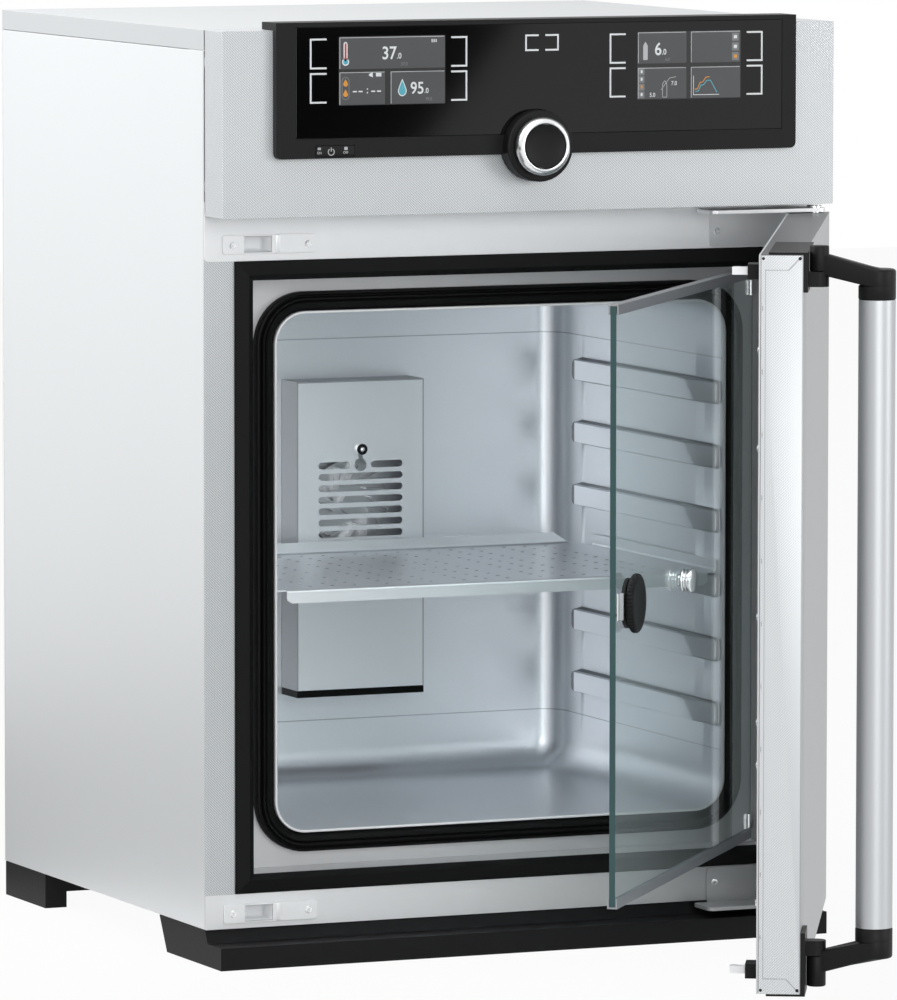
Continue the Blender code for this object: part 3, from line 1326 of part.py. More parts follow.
def latch_base(door):
    """Round bearing plate of the glass door's latch, with its bush through the glass."""
    front = GLASS_Y - GAP
    bore = LATCH_BUSH_BORE
    profile = [(bore, LATCH_BASE_T), (LATCH_BASE_R - LATCH_BASE_ROUND, LATCH_BASE_T),
               (LATCH_BASE_R, LATCH_BASE_T - LATCH_BASE_ROUND), (LATCH_BASE_R, 0),
               (LATCH_BUSH_R, 0), (LATCH_BUSH_R, -GLASS_T), (bore, -GLASS_T),
               (bore, LATCH_BASE_T)]
    obj = turned(profile, (LATCH_X, front, LATCH_Z), FACE_FRONT, 32)
    return finish(obj, "latch_base", BLACK, door)


def latch_knob(door):
    """Knurled latch knob with its spindle through the bearing plate."""
    front = GLASS_Y - LATCH_BASE_T - LATCH_STANDOFF
    rim = LATCH_KNOB_R
    profile = [(0, LATCH_KNOB_T), (rim - LATCH_ROUND, LATCH_KNOB_T),
               (rim, LATCH_KNOB_T - LATCH_ROUND), (rim, LATCH_ROUND), (rim - LATCH_ROUND, 0),
               (LATCH_HUB_R, 0), (LATCH_HUB_R, -LATCH_HUB_L), (LATCH_SPINDLE_R, -LATCH_HUB_L),
               (LATCH_SPINDLE_R, -LATCH_SPINDLE_L), (0, -LATCH_SPINDLE_L)]
    obj = turned(profile, (LATCH_X, front, LATCH_Z), FACE_FRONT, 36)
    return finish(obj, "latch_knob", BLACK, door, smooth=30)


def latch_clip(door):
    """Bent steel clip that reaches from behind the knob over the glass's free edge."""
    gap_front = GLASS_Y - LATCH_BASE_T - LATCH_STANDOFF + GAP
    reach = -GLASS_HALF_W - CLIP_REACH
    root = LATCH_X - CLIP_HALF_ROOT
    first, second, third, fourth = [bend - GLASS_HALF_W for bend in CLIP_BENDS]
    y0 = gap_front
    y1 = y0 + CLIP_T
    y2 = y1 + CLIP_STEP
    outline = [(root, y0), (root, y1), (first, y1), (second, y2), (reach, y2),
               (reach, y2 - CLIP_T), (third, y2 - CLIP_T), (fourth, y0)]
    obj = plate([outline], CLIP_H, (0, 0, LATCH_Z), FACE_UP)
    return finish(obj, "latch_clip", BRIGHT, door)


def port_plug(door):
    """Turned stopper of the sampling port: a grooved knob, a neck and a stem in the glass."""
    r = PORT_R
    rim, groove, waist, land = [PORT_L - drop for drop in PORT_GROOVES]
    high, low, foot = PORT_NECK
    profile = [(0, PORT_L), (r * 0.85, PORT_L), (r, rim), (r, groove), (r * 0.72, waist),
               (r * 0.72, land), (r * 0.95, high), (r * 0.95, low), (r * 0.6, foot), (r * 0.6, 0),
               (PORT_STEM_R, 0),
               (PORT_STEM_R, -PORT_TAIL), (0, -PORT_TAIL)]
    obj = turned(profile, (PORT_X, GLASS_Y - GAP, PORT_Z), FACE_FRONT, 32)
    return finish(obj, "port_plug", BRIGHT, door)


# Assembly

def build_cabinet():
    outer_casing()
    top_cover()
    rear_panel()
    front_frame()
    fascia("upper_fascia", RECESS_TOP + OUTER_SEAL_W + GAP, PANEL_BOTTOM + FASCIA_TUCK,
           UPPER_HOOK_Z, FASCIA_CORNER, GAP)
    fascia("lower_fascia", BASE_Z, RECESS_LOW - OUTER_SEAL_W - GAP, LOWER_HOOK_Z, GAP,
           FASCIA_CORNER / 2)
    front_plinth()
    rear_foot_bar()
    chamber_liner()
    outer_gasket()
    inner_gasket()
    shelf()
    fan_cover()
    cover_screw()
    fan_impeller()
    fan_motor()
    gas_sensor()
    mains_inlet()
    gas_inlet()
    latch_striker()
    glass_hinge("upper_glass_hinge", RECESS_TOP, -1)
    glass_hinge("lower_glass_hinge", RECESS_LOW, 1)


def build_panel():
    control_housing()
    display_bezel()
    display_glass()
    display("left_display", -1)
    display("right_display", 1)
    power_button()
    encoder_shaft()
    knob_ring()
    knob_cap()


def build_frame_fittings():
    upper_z = DOOR_TOP + BRACKET_CLEAR + BRACKET_T / 2
    lower_z = DOOR_LOW - BRACKET_CLEAR - BRACKET_T / 2
    strike_plate("upper_strike", UPPER_HOOK_Z)
    strike_plate("lower_strike", LOWER_HOOK_Z)
    hinge_bracket("upper_hinge_bracket", upper_z, upper_z - BRACKET_FLANGE_H, upper_z)
    hinge_bracket("lower_hinge_bracket", lower_z, lower_z, lower_z + BRACKET_FLANGE_H)
    hinge_pin("upper_hinge_pin", upper_z, -1)
    hinge_pin("lower_hinge_pin", lower_z, 1)


def build_main_door():
    door = pivot("main_door_pivot", (HINGE_X, HINGE_Y, 0), DOOR_OPEN)
    door_outer_shell(door)
    door_inner_panel(door)
    hinge_bush("upper_bush", DOOR_TOP, -1, door)
    hinge_bush("lower_bush", DOOR_LOW, 1, door)
    for name, z in (("upper", UPPER_HOOK_Z), ("lower", LOWER_HOOK_Z)):
        hook_housing(name + "_hook_housing", z, door)
        swivel = pivot(name + "_hook_pivot", (HOOK_X, HOOK_PIVOT_Y, z), 0, door)
        lock_hook(name + "_hook", z, swivel)
    handle_bracket("upper_handle_bracket", DOOR_TOP, UPPER_PLATE_H, 1, UPPER_LUG_INSET,
                   door)
    handle_bracket("lower_handle_bracket", DOOR_LOW, LOWER_PLATE_H, -1, LOWER_LUG_INSET, door)
    swivel = pivot("handle_pivot", (HANDLE_X, HANDLE_PIVOT_Y, 0), 0, door)
    lug = HANDLE_CAP_T + LUG_T + GAP
    upper_start = DOOR_TOP - UPPER_PLATE_H + UPPER_LUG_INSET + lug
    lower_start = DOOR_LOW + LOWER_PLATE_H - LOWER_LUG_INSET - lug
    handle_arm("upper_handle_arm", upper_start, UPPER_BOSS_H, 1, HANDLE_TUBE_TOP, swivel)
    handle_arm("lower_handle_arm", lower_start, LOWER_BOSS_H, -1, HANDLE_TUBE_LOW, swivel)
    handle_tube(swivel)


def build_glass_door():
    door = pivot("glass_door_pivot", (GLASS_AXIS_X, GLASS_AXIS_Y, 0), GLASS_OPEN)
    glass_pane(door)
    glass_channel("upper_channel", GLASS_TOP, -1, door)
    glass_channel("lower_channel", GLASS_LOW, 1, door)
    reach = CHANNEL_H + CLAMP_SPACE + GAP
    glass_clamp("upper_clamp", RECESS_TOP - reach, -1, door)
    glass_clamp("lower_clamp", RECESS_LOW + reach, 1, door)
    latch_base(door)
    latch = pivot("latch_pivot", (LATCH_X, GLASS_Y, LATCH_Z), 0, door)
    latch_knob(latch)
    latch_clip(latch)
    port = pivot("port_pivot", (PORT_X, GLASS_Y, PORT_Z), 0, door)
    port_plug(port)


build_cabinet()
build_panel()
build_frame_fittings()
build_main_door()
build_glass_door()
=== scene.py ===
"""Finishes and fine shapes of a benchtop gas incubator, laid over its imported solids.

Metres, +Z up, the front faces -Y. Shapes on the doors are worked out for closed doors and
then swung about the hinge lines to where the photographed doors stand.
"""

import math

import bmesh
import bpy
import numpy as np
from mathutils import Matrix, Vector


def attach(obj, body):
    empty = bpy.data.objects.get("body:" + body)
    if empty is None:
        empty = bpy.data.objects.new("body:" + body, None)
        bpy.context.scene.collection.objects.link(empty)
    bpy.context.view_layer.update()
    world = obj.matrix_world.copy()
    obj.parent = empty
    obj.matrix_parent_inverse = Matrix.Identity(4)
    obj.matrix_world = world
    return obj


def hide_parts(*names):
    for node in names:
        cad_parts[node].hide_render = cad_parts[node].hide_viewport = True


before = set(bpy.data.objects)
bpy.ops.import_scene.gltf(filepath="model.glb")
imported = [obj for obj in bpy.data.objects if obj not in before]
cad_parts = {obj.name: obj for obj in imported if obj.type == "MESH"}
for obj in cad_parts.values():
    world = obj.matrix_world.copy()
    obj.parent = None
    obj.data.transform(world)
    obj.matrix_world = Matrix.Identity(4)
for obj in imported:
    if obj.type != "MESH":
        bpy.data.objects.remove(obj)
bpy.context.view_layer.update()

TAU = 2 * math.pi

# Sizes shared with the solids
HALF = 0.2795
PANEL_Y = -0.0405
GAP = 0.0003
DOOR_OPEN = 61.83
DOOR_EDGE_X = -0.2785
DOOR_BACK_Y = 0.0055
DOOR_HINGE = (0.268, -0.028)
GLASS_OPEN = 50.60
GLASS_HINGE = (0.2315, 0.0198)
GLASS_FRONT = 0.0173
GLASS_T = 0.005
GLASS_HALF = 0.229
CHAMBER_HALF = 0.205
CHAMBER_LOW = 0.105
CHAMBER_TOP = 0.5415
CHAMBER_FRONT = 0.026
CHAMBER_BACK = 0.362
CORNER_R = 0.0265
BACK_R = 0.022
RECESS_HALF = 0.2365
RECESS_LOW = 0.075
RECESS_TOP = 0.5715
RIB_TOP = 0.4724
RIB_PITCH = 0.0553
RIB_H = 0.022
RIB_PROUD = 0.009
HOOD_SCREW_Y = 0.322
HOOD_SCREW_Z = 0.3963
RIB_Y = (0.032, 0.313)
KNOB_Z = 0.681
COLLAR_R = 0.030
UPPER_HOOK_Z = 0.6017
LOWER_HOOK_Z = 0.0425
HOOK_X = -0.2325
LATCH = (-0.195, 0.3245)
PORT = (-0.014, 0.325)
HANDLE_X = -0.255
HANDLE_PIVOT_Y = -0.0523
HANDLE_TUBE_Y = -0.098
TUBE_R = 0.0147
TUBE_LOW = 0.081
TUBE_TOP = 0.581

# Limits of the mesh work
TINY = 1e-12
SAME_POINT = 1e-6
MITRE_LIMIT = 0.4


# Outlines in a plane

def rounded(width, height, radius, centre=(0.0, 0.0), steps=8):
    """Rounded rectangle, anticlockwise: a quarter circle about each corner's centre."""
    sweep = np.linspace(0, math.pi / 2, steps + 1)
    parts = []
    for quarter, (sx, sy) in enumerate(((1, 1), (-1, 1), (-1, -1), (1, -1))):
        angle = sweep + quarter * math.pi / 2
        parts.append(np.stack([centre[0] + sx * (width / 2 - radius) + radius * np.cos(angle),
                               centre[1] + sy * (height / 2 - radius) + radius * np.sin(angle)],
                              axis=1))
    return np.concatenate(parts)


def circle(radius, centre=(0.0, 0.0), steps=32):
    """Points at equal angles on a circle, anticlockwise."""
    angle = np.arange(steps) * TAU / steps
    return np.stack([centre[0] + radius * np.cos(angle), centre[1] + radius * np.sin(angle)],
                    axis=1)


def softened(corners, radius, steps=5):
    """A polygon whose corners are replaced by short curves: each is a quadratic blend
    between the points at one radius before and after the corner."""
    corners = np.array(corners, float)
    before = np.roll(corners, 1, axis=0) - corners
    after = np.roll(corners, -1, axis=0) - corners
    reach = np.broadcast_to(radius, len(corners))[:, None]
    start = corners + before / np.linalg.norm(before, axis=1, keepdims=True) * reach
    end = corners + after / np.linalg.norm(after, axis=1, keepdims=True) * reach
    t = np.linspace(0, 1, steps + 1)[None, :, None]
    curve = ((1 - t) ** 2 * start[:, None] + 2 * t * (1 - t) * corners[:, None]
             + t ** 2 * end[:, None])
    return curve.reshape(-1, 2)


def grown(outline, distance):
    """The outline moved outwards by a distance along the mean normal of its two sides,
    stretched by one over the cosine between that normal and a side's own."""
    ahead = np.roll(outline, -1, axis=0) - outline
    behind = outline - np.roll(outline, 1, axis=0)
    turn = [np.stack([d[:, 1], -d[:, 0]], axis=1)
            / np.maximum(np.linalg.norm(d, axis=1, keepdims=True), TINY)
            for d in (ahead, behind)]
    mean = turn[0] + turn[1]
    mean /= np.maximum(np.linalg.norm(mean, axis=1, keepdims=True), TINY)
    stretch = 1 / np.maximum((mean * turn[0]).sum(axis=1, keepdims=True), MITRE_LIMIT)
    return outline + distance * mean * stretch


# Planes: each takes the outline's two coordinates and a height above the plane

def on_front(u, v, h):
    return np.stack([u, -h, v], axis=-1)


def on_back(u, v, h):
    return np.stack([-u, h, v], axis=-1)


def on_top(u, v, h):
    return np.stack([u, v, h], axis=-1)


def lifted(outline, height, plane):
    """An outline laid on a plane at one height."""
    return plane(outline[:, 0], outline[:, 1], np.full(len(outline), height))


def swung(points, hinge, degrees):
    """Points turned about an upright line by an angle."""
    a = math.radians(degrees)
    x = points[..., 0] - hinge[0]
    y = points[..., 1] - hinge[1]
    return np.stack([hinge[0] + x * math.cos(a) - y * math.sin(a),
                     hinge[1] + x * math.sin(a) + y * math.cos(a), points[..., 2]], axis=-1)


def to_main_door(points):
    """From the closed outer door to where it stands in the photograph."""
    return swung(points, DOOR_HINGE, DOOR_OPEN)


def to_glass_door(points):
    """From the closed glass door to where it stands in the photograph."""
    return swung(points, GLASS_HINGE, GLASS_OPEN)


# Surfaces: each returns its points, its faces and the number of its finish

def grid(points, wrap=True, first=False, last=False, finish=0):
    """Faces of a grid: points[i, j] lies at step i along and step j around. The first and
    last rings can be closed by a face of their own."""
    rows, around = points.shape[:2]
    index = np.arange(rows * around).reshape(rows, around)
    right = np.roll(index, -1, axis=1) if wrap else index[:, 1:]
    left = index if wrap else index[:, :-1]
    quads = np.stack([left[:-1], right[:-1], right[1:], left[1:]], axis=-1).reshape(-1, 4)
    faces = quads.tolist()
    if first:
        faces.append(index[0][::-1].tolist())
    if last:
        faces.append(index[-1].tolist())
    return points.reshape(-1, 3), faces, finish


def slab(outline, low, high, edge, plane, steps=3, finish=0):
    """A plate with rounded rims: the outline is carried from one face to the other and
    drawn in by edge * (1 - sin t) at a depth of edge * (1 - cos t) near both faces."""
    t = np.linspace(0, math.pi / 2, steps + 1)
    inset = edge * (1 - np.sin(t))
    depth = edge * (1 - np.cos(t))
    levels = ([(-i, low + d) for i, d in zip(inset, depth)]
              + [(-i, high - d) for i, d in zip(inset[::-1], depth[::-1])])
    rings = [lifted(grown(outline, inward), height, plane) for inward, height in levels]
    return grid(np.array(rings), first=True, last=True, finish=finish)


def turned(profile, centre, plane, around=64, finish=0, ripple=None):
    """A profile of (radius, height) turned about an axis through the centre. A ripple is
    (rows, depth, count): on these rows the radius falls by depth * |sin(count * angle / 2)|."""
    profile = np.array(profile, float)
    angle = np.arange(around) * TAU / around
    radius = np.repeat(profile[:, :1], around, axis=1)
    if ripple:
        rows, depth, count = ripple
        radius[list(rows)] -= depth * np.abs(np.sin(count * angle / 2))
    height = np.repeat(profile[:, 1:], around, axis=1)
    points = plane(centre[0] + radius * np.cos(angle), centre[1] + radius * np.sin(angle), height)
    return grid(points, first=profile[0, 0] > 0, last=profile[-1, 0] > 0, finish=finish)


def raised(profile, base):
    """A profile moved up by a height."""
    return [(r, base + h) for r, h in profile]


def framed(outline, profile, plane, finish=0):
    """A closed profile of (offset outwards, height) carried round an outline."""
    closed = list(profile) + [profile[0]]
    rings = [lifted(grown(outline, out), height, plane) for out, height in closed]
    return grid(np.array(rings), finish=finish)


# Pieces

def placed(name, data):
    """A new object in the scene."""
    obj = bpy.data.objects.new(name, data)
    bpy.context.scene.collection.objects.link(obj)
    return obj


def piece(name, shapes, finishes, body, stands_for=(), sharp=35, closed=True):
    """One object from several shapes, with its place in its mesh."""
    points, faces, marks, start = [], [], [], 0
    for shape_points, shape_faces, finish in shapes:
        points.append(shape_points)
        faces += [[start + corner for corner in face] for face in shape_faces]
        marks += [finish] * len(shape_faces)
        start += len(shape_points)
    mesh = bpy.data.meshes.new(name)
    mesh.from_pydata(np.concatenate(points).tolist(), [], faces)
    for finish in finishes:
        mesh.materials.append(finish)
    mesh.polygons.foreach_set("material_index", marks)
    work = bmesh.new()
    work.from_mesh(mesh)
    bmesh.ops.remove_doubles(work, verts=work.verts, dist=SAME_POINT)
    if closed:
        bmesh.ops.recalc_face_normals(work, faces=work.faces)
    work.to_mesh(mesh)
    work.free()
    if sharp is None:
        mesh.shade_flat()
    else:
        mesh.shade_smooth()
    if sharp:
        mesh.set_sharp_from_angle(angle=math.radians(sharp))
    obj = placed(name, mesh)
    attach(obj, body)
    if stands_for:
        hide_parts(*stands_for)
    return obj


# Finishes

def node(tree, kind, sockets=None, **settings):
    """A shader node with its settings. Each named socket gets a value or a link."""
    made = tree.nodes.new("ShaderNode" + kind)
    for name, value in settings.items():
        setattr(made, name, value)
    for name, value in (sockets or {}).items():
        if isinstance(value, bpy.types.NodeSocket):
            tree.links.new(value, made.inputs[name])
        else:
            made.inputs[name].default_value = value
    return made


def math_node(tree, operation, first, second=None, clamp=False):
    """One step of arithmetic on numbers or sockets."""
    sockets = {0: first} if second is None else {0: first, 1: second}
    return node(tree, "Math", sockets, operation=operation, use_clamp=clamp).outputs[0]


def mixed(tree, share, first, second, blend="MIX"):
    """Two colours mixed by a share."""
    return node(tree, "Mix", {"Factor": share, "A": first, "B": second}, data_type="RGBA",
                blend_type=blend).outputs["Result"]


def most(tree, masks):
    """The highest of several masks."""
    total = masks[0]
    for mask in masks[1:]:
        total = math_node(tree, "MAXIMUM", total, mask)
    return total


def places(tree, source=None):
    """The three object coordinates, or those of another vector."""
    return node(tree, "SeparateXYZ",
                {0: source or node(tree, "TexCoord").outputs["Object"]}).outputs


def node_group(name, inputs, outputs):
    """An empty group: an input without a value is a vector, and all else are numbers."""
    group = bpy.data.node_groups.new(name, "ShaderNodeTree")
    for label, value in inputs.items():
        kind = "NodeSocketVector" if value is None else "NodeSocketFloat"
        socket = group.interface.new_socket(name=label, in_out="INPUT", socket_type=kind)
        if value is not None:
            socket.default_value = value
    for label in outputs:
        group.interface.new_socket(name=label, in_out="OUTPUT", socket_type="NodeSocketFloat")
    return (group, group.nodes.new("NodeGroupInput").outputs,
            group.nodes.new("NodeGroupOutput").inputs)


def grain_group():
    """Fine grain and slow clouds: two noises, given as a colour factor near one and a height."""
    group, given, result = node_group(
        "grain", {"Vector": None, "Fine Scale": 900.0, "Cloud Scale": 9.0, "Fine": 0.05,
                  "Cloud": 0.04}, ("Factor", "Height"))
    noises = {label: node(group, "TexNoise", {
        "Vector": given["Vector"], "Scale": given[label + " Scale"], "Detail": 2.0,
        "Roughness": 0.5}).outputs["Fac"] for label in ("Fine", "Cloud")}
    parts = [math_node(group, "MULTIPLY", math_node(group, "SUBTRACT", noise, 0.5), given[label])
             for label, noise in noises.items()]
    total = math_node(group, "ADD", math_node(group, "ADD", *parts), 1.0)
    group.links.new(total, result["Factor"])
    group.links.new(noises["Fine"], result["Height"])
    return group


def weave_group():
    """Rolled linen pattern: u runs along the sheet and v up it, and the height is the
    product of two slanting sine waves, so that small cushions stand in diagonal rows."""
    group, given, result = node_group("rolled_weave", {"Vector": None, "Pitch": 0.0022},
                                      ("Height",))
    lean, cushion, cross, middle = 0.6, 0.5, 0.35, 0.5
    x, y, v = places(group, given["Vector"])
    u = math_node(group, "ADD", x, y)
    turns = math_node(group, "DIVIDE", TAU, given["Pitch"])

    def wave(along):
        return math_node(group, "SINE", math_node(group, "MULTIPLY", along, turns))

    slant = wave(math_node(group, "ADD", u, v))
    across = wave(math_node(group, "SUBTRACT", math_node(group, "MULTIPLY", u, lean), v))
    both = math_node(group, "MULTIPLY", slant, across)
    height = math_node(group, "ADD", math_node(group, "MULTIPLY", slant, cushion),
                       math_node(group, "MULTIPLY", both, cross))
    group.links.new(math_node(group, "ADD", height, middle), result["Height"])
    return group


GRAIN = grain_group()
WEAVE = weave_group()
WEAVE_DEPTH = 0.00006
MASK_SOFT = 0.0004
MASK_SOFT_Y = 0.001


def new_material(name):
    """A material and its tree of nodes."""
    mat = bpy.data.materials.new(name)
    mat.use_nodes = True
    return mat, mat.node_tree


def finish(name, color, roughness, metallic=0.0, grain=(900.0, 9.0, 0.05, 0.04), bump=0.0,
           rough_spread=0.06, specular=0.5):
    """A material whose colour and roughness follow the grain group on object coordinates."""
    mat, tree = new_material(name)
    shader = tree.nodes["Principled BSDF"].inputs
    shader["Metallic"].default_value = metallic
    shader["Specular IOR Level"].default_value = specular
    scales = dict(zip(("Fine Scale", "Cloud Scale", "Fine", "Cloud"), grain))
    speck = node(tree, "Group", {"Vector": node(tree, "TexCoord").outputs["Object"], **scales},
                 node_tree=GRAIN).outputs
    tree.links.new(mixed(tree, 1.0, (*color, 1), speck["Factor"], "MULTIPLY"),
                   shader["Base Color"])
    spread = math_node(tree, "MULTIPLY", math_node(tree, "SUBTRACT", speck["Height"], 0.5),
                       rough_spread)
    tree.links.new(math_node(tree, "ADD", spread, roughness, clamp=True), shader["Roughness"])
    if bump:
        raise_by(tree, speck["Height"], bump)
    return mat


def raise_by(tree, height, distance):
    """Relief on the shader's normal."""
    relief = node(tree, "Bump", {"Height": height, "Distance": distance})
    tree.links.new(relief.outputs["Normal"], tree.nodes["Principled BSDF"].inputs["Normal"])


def woven(name, color, dark, roughness, metallic, turn=0.0):
    """Textured sheet: the weave paints shade in its hollows and a highlight on its cushions, and
    lifts its cushions.
    """
    mat = finish(name, color, roughness, metallic, grain=(700.0, 6.0, 0.03, 0.03))
    tree = mat.node_tree
    place = node(tree, "Mapping", {"Vector": node(tree, "TexCoord").outputs["Object"],
                                   "Rotation": (0, 0, math.radians(turn))})
    weave = node(tree, "Group", {"Vector": place.outputs["Vector"]},
                 node_tree=WEAVE).outputs["Height"]
    shade = tree.nodes["Principled BSDF"].inputs["Base Color"].links[0].from_node
    tree.links.new(mixed(tree, weave, (*dark, 1), (*color, 1)), shade.inputs["A"])
    raise_by(tree, weave, WEAVE_DEPTH)
    return mat


def recoloured(tree, mask, color, blend="MIX"):
    """Lays a colour over the base colour where the mask is one."""
    base = tree.nodes["Principled BSDF"].inputs["Base Color"]
    tree.links.new(mixed(tree, mask, base.links[0].from_socket, (*color, 1), blend), base)


def shade_by(tree, mask, share):
    """Painted shade: multiplies the base colour by a share where the mask is one."""
    recoloured(tree, mask, (share, share, share), "MULTIPLY")


def drawn_line(mat, values, width, dark):
    """Fine dark lines across a sheet, where the height is near given values."""
    tree = mat.node_tree
    height = places(tree)["Z"]
    lines = []
    for value in values:
        gap = math_node(tree, "ABSOLUTE", math_node(tree, "SUBTRACT", height, value))
        lines.append(math_node(tree, "SUBTRACT", 1.0, math_node(tree, "DIVIDE", gap, width),
                               clamp=True))
    recoloured(tree, most(tree, lines), dark)
    return mat


def within(tree, value, low, high, soft):
    """One between two values, falling to nought over a soft distance outside them."""
    above = math_node(tree, "DIVIDE", math_node(tree, "SUBTRACT", value, low - soft), soft,
                      clamp=True)
    below = math_node(tree, "DIVIDE", math_node(tree, "SUBTRACT", high + soft, value), soft,
                      clamp=True)
    return math_node(tree, "MULTIPLY", above, below)


def shaded_in(mat, boxes, share):
    """Painted shade: a sheet whose colour falls to a share inside boxes, each given by its ranges
    of distance from the middle plane, depth and height."""
    tree = mat.node_tree
    x, y, z = places(tree)
    side = math_node(tree, "ABSOLUTE", x)
    masks = [math_node(tree, "MULTIPLY", within(tree, side, *across, MASK_SOFT), math_node(
        tree, "MULTIPLY", within(tree, y, *along, MASK_SOFT_Y), within(tree, z, *up, MASK_SOFT)))
        for across, along, up in boxes]
    shade_by(tree, most(tree, masks), share)
    return mat


def shaded_across(mat, left, right, share):
    """Painted shade: a sheet whose colour falls evenly to a share from one place across to
    another.
    """
    tree = mat.node_tree
    ramp = node(tree, "MapRange", {"Value": places(tree)["X"], "From Min": left,
                                   "From Max": right})
    shade_by(tree, ramp.outputs["Result"], share)
    return mat


def shaded_beyond(mat, level, share, height, top_share):
    """Painted shade on a woven sheet: its colour falls to a share where its turned coordinate is
    past a level, on the face that stands away from the light, and again above a height, on a top
    that lies in shade."""
    tree = mat.node_tree
    x, y, z = places(tree, tree.nodes["Mapping"].outputs["Vector"])
    above = math_node(tree, "GREATER_THAN", z, height)
    shade_by(tree, most(tree, [math_node(tree, "LESS_THAN", y, level), above]), share)
    shade_by(tree, above, top_share)
    return mat


def blended(tree, share, first, second):
    """Sends a mix of two shaders to the output."""
    mix = node(tree, "MixShader", {0: share, 1: first.outputs[0], 2: second.outputs[0]})
    output = next(n for n in tree.nodes if n.type.startswith("OUTPUT"))
    tree.links.new(mix.outputs[0], output.inputs["Surface"])


def clear(name, color, sheen):
    """Clear sheet: light from the lamps passes it, dimmed by its colour, and what it mirrors
    takes the colour of its sheen."""
    mat, tree = new_material(name)
    shader = tree.nodes["Principled BSDF"]
    for label, value in (("Base Color", (*color, 1)), ("Roughness", 0.0), ("IOR", 1.52),
                         ("Transmission Weight", 1.0), ("Specular Tint", (*sheen, 1))):
        shader.inputs[label].default_value = value
    blended(tree, node(tree, "LightPath").outputs["Is Shadow Ray"], shader,
            node(tree, "BsdfTransparent", {"Color": (*color, 1)}))
    return mat


CASING = finish("satin_casing", (0.80, 0.82, 0.83), 0.38, 0.45, (500.0, 3.0, 0.04, 0.03),
                bump=0.00002)
# Painted shade: the top cover takes a darker copy of the casing's sheet, for how the light falls
# on the top.
TOP_SHEET = finish("top_sheet", (0.59, 0.61, 0.62), 0.38, 0.35, (500.0, 3.0, 0.04, 0.03))
TEXTURED = woven("textured_front", (0.79, 0.81, 0.82), (0.36, 0.38, 0.40), 0.36, 0.35)
# Painted shade on the door's outer face, which stands away from the light, and on its top under
# the control housing.
DOOR_TEXTURED = shaded_beyond(
    woven("textured_door", (0.80, 0.82, 0.83), (0.50, 0.52, 0.54), 0.36, 0.35, turn=-DOOR_OPEN),
    level=-0.2612, share=0.56, height=0.6169, top_share=0.25)
SMOOTH = finish("smooth_front", (0.90, 0.91, 0.92), 0.34, 0.30, (600.0, 5.0, 0.04, 0.05),
                bump=0.00001)
DOOR_FACE = finish("smooth_door", (0.58, 0.59, 0.60), 0.40, 0.4, (600.0, 5.0, 0.05, 0.05),
                   bump=0.00001)
# Painted shade: the lower fascia darkens towards +x, where the open door holds off the light.
LOW_SHEET = shaded_across(finish("low_front", (0.83, 0.84, 0.85), 0.34, 0.30,
                                 (700.0, 12.0, 0.03, 0.03)), -0.20, 0.26, 0.42)
# Painted shade: the front frame, seen between the seals, takes a darker grey than the front
# sheets, for the shade there.
RECESS = finish("recess_sheet", (0.66, 0.66, 0.67), 0.36, 0.25, (600.0, 5.0, 0.04, 0.04))

# The liner's seam lines, and painted shade on the ribs' flanks, front ends, rear ends and slanting
# facets
RIBS_Z = (0.1735, 0.4727)
WALL_X = 0.2042
LINER = drawn_line(finish("drawn_liner", (0.86, 0.89, 0.93), 0.37, 0.85,
                          (450.0, 5.0, 0.05, 0.05), bump=0.000012, rough_spread=0.04),
                   (0.4913, 0.1546), 0.0006, (0.30, 0.33, 0.36))
shaded_in(LINER, [((0.1988, WALL_X), (0.1010, 0.3135), RIBS_Z),
                  ((0.2022, WALL_X), (0.0318, 0.1010), RIBS_Z),
                  ((0.1940, WALL_X), (0.3056, 0.3137), RIBS_Z)], 0.20)
shaded_in(LINER, [((0.1968, 0.2020), (0.0352, 0.1010), RIBS_Z)], 0.62)
SHEET = finish("chamber_sheet", (0.84, 0.87, 0.90), 0.36, 0.85, (500.0, 8.0, 0.03, 0.03),
               rough_spread=0.03)
# Painted shade on the fan hood: its side faces, its edge lines and its top face are darker.
HOOD_Y = (0.30, 0.37)
HOOD = shaded_in(finish("hood_sheet", (0.90, 0.93, 0.96), 0.38, 0.80, (500.0, 8.0, 0.03, 0.03),
                        rough_spread=0.03),
                 [((0.0594, 0.0620), HOOD_Y, (0.15, 0.50)),
                  ((0.0, 0.0620), HOOD_Y, (0.4557, 0.4590))], 0.45)
BRIGHT = finish("bright_steel", (0.82, 0.83, 0.84), 0.16, 1.0, (800.0, 20.0, 0.04, 0.04))
BRIGHT_SHEET = finish("bright_sheet", (0.74, 0.75, 0.76), 0.34, 0.8, (700.0, 12.0, 0.04, 0.05))
SPUN = finish("spun_ring", (0.84, 0.85, 0.86), 0.22, 1.0, (1200.0, 40.0, 0.05, 0.03))
ALUMINIUM = finish("satin_aluminium", (0.74, 0.76, 0.78), 0.32, 0.7, (900.0, 6.0, 0.03, 0.03))
TUBE = finish("drawn_tube", (0.50, 0.515, 0.53), 0.44, 0.75, (1500.0, 4.0, 0.03, 0.02))
CHANNEL = finish("channel_aluminium", (0.33, 0.34, 0.36), 0.4, 0.8, (900.0, 8.0, 0.05, 0.05))
MOULDED = finish("moulded_black", (0.009, 0.009, 0.0095), 0.46, 0.0, (1400.0, 30.0, 0.5, 0.1),
                 bump=0.00005, rough_spread=0.2, specular=0.16)
BASE_BLACK = finish("base_black", (0.007, 0.007, 0.0075), 0.5, 0.0, (1000.0, 20.0, 0.5, 0.2),
                    bump=0.00005, rough_spread=0.2, specular=0.14)
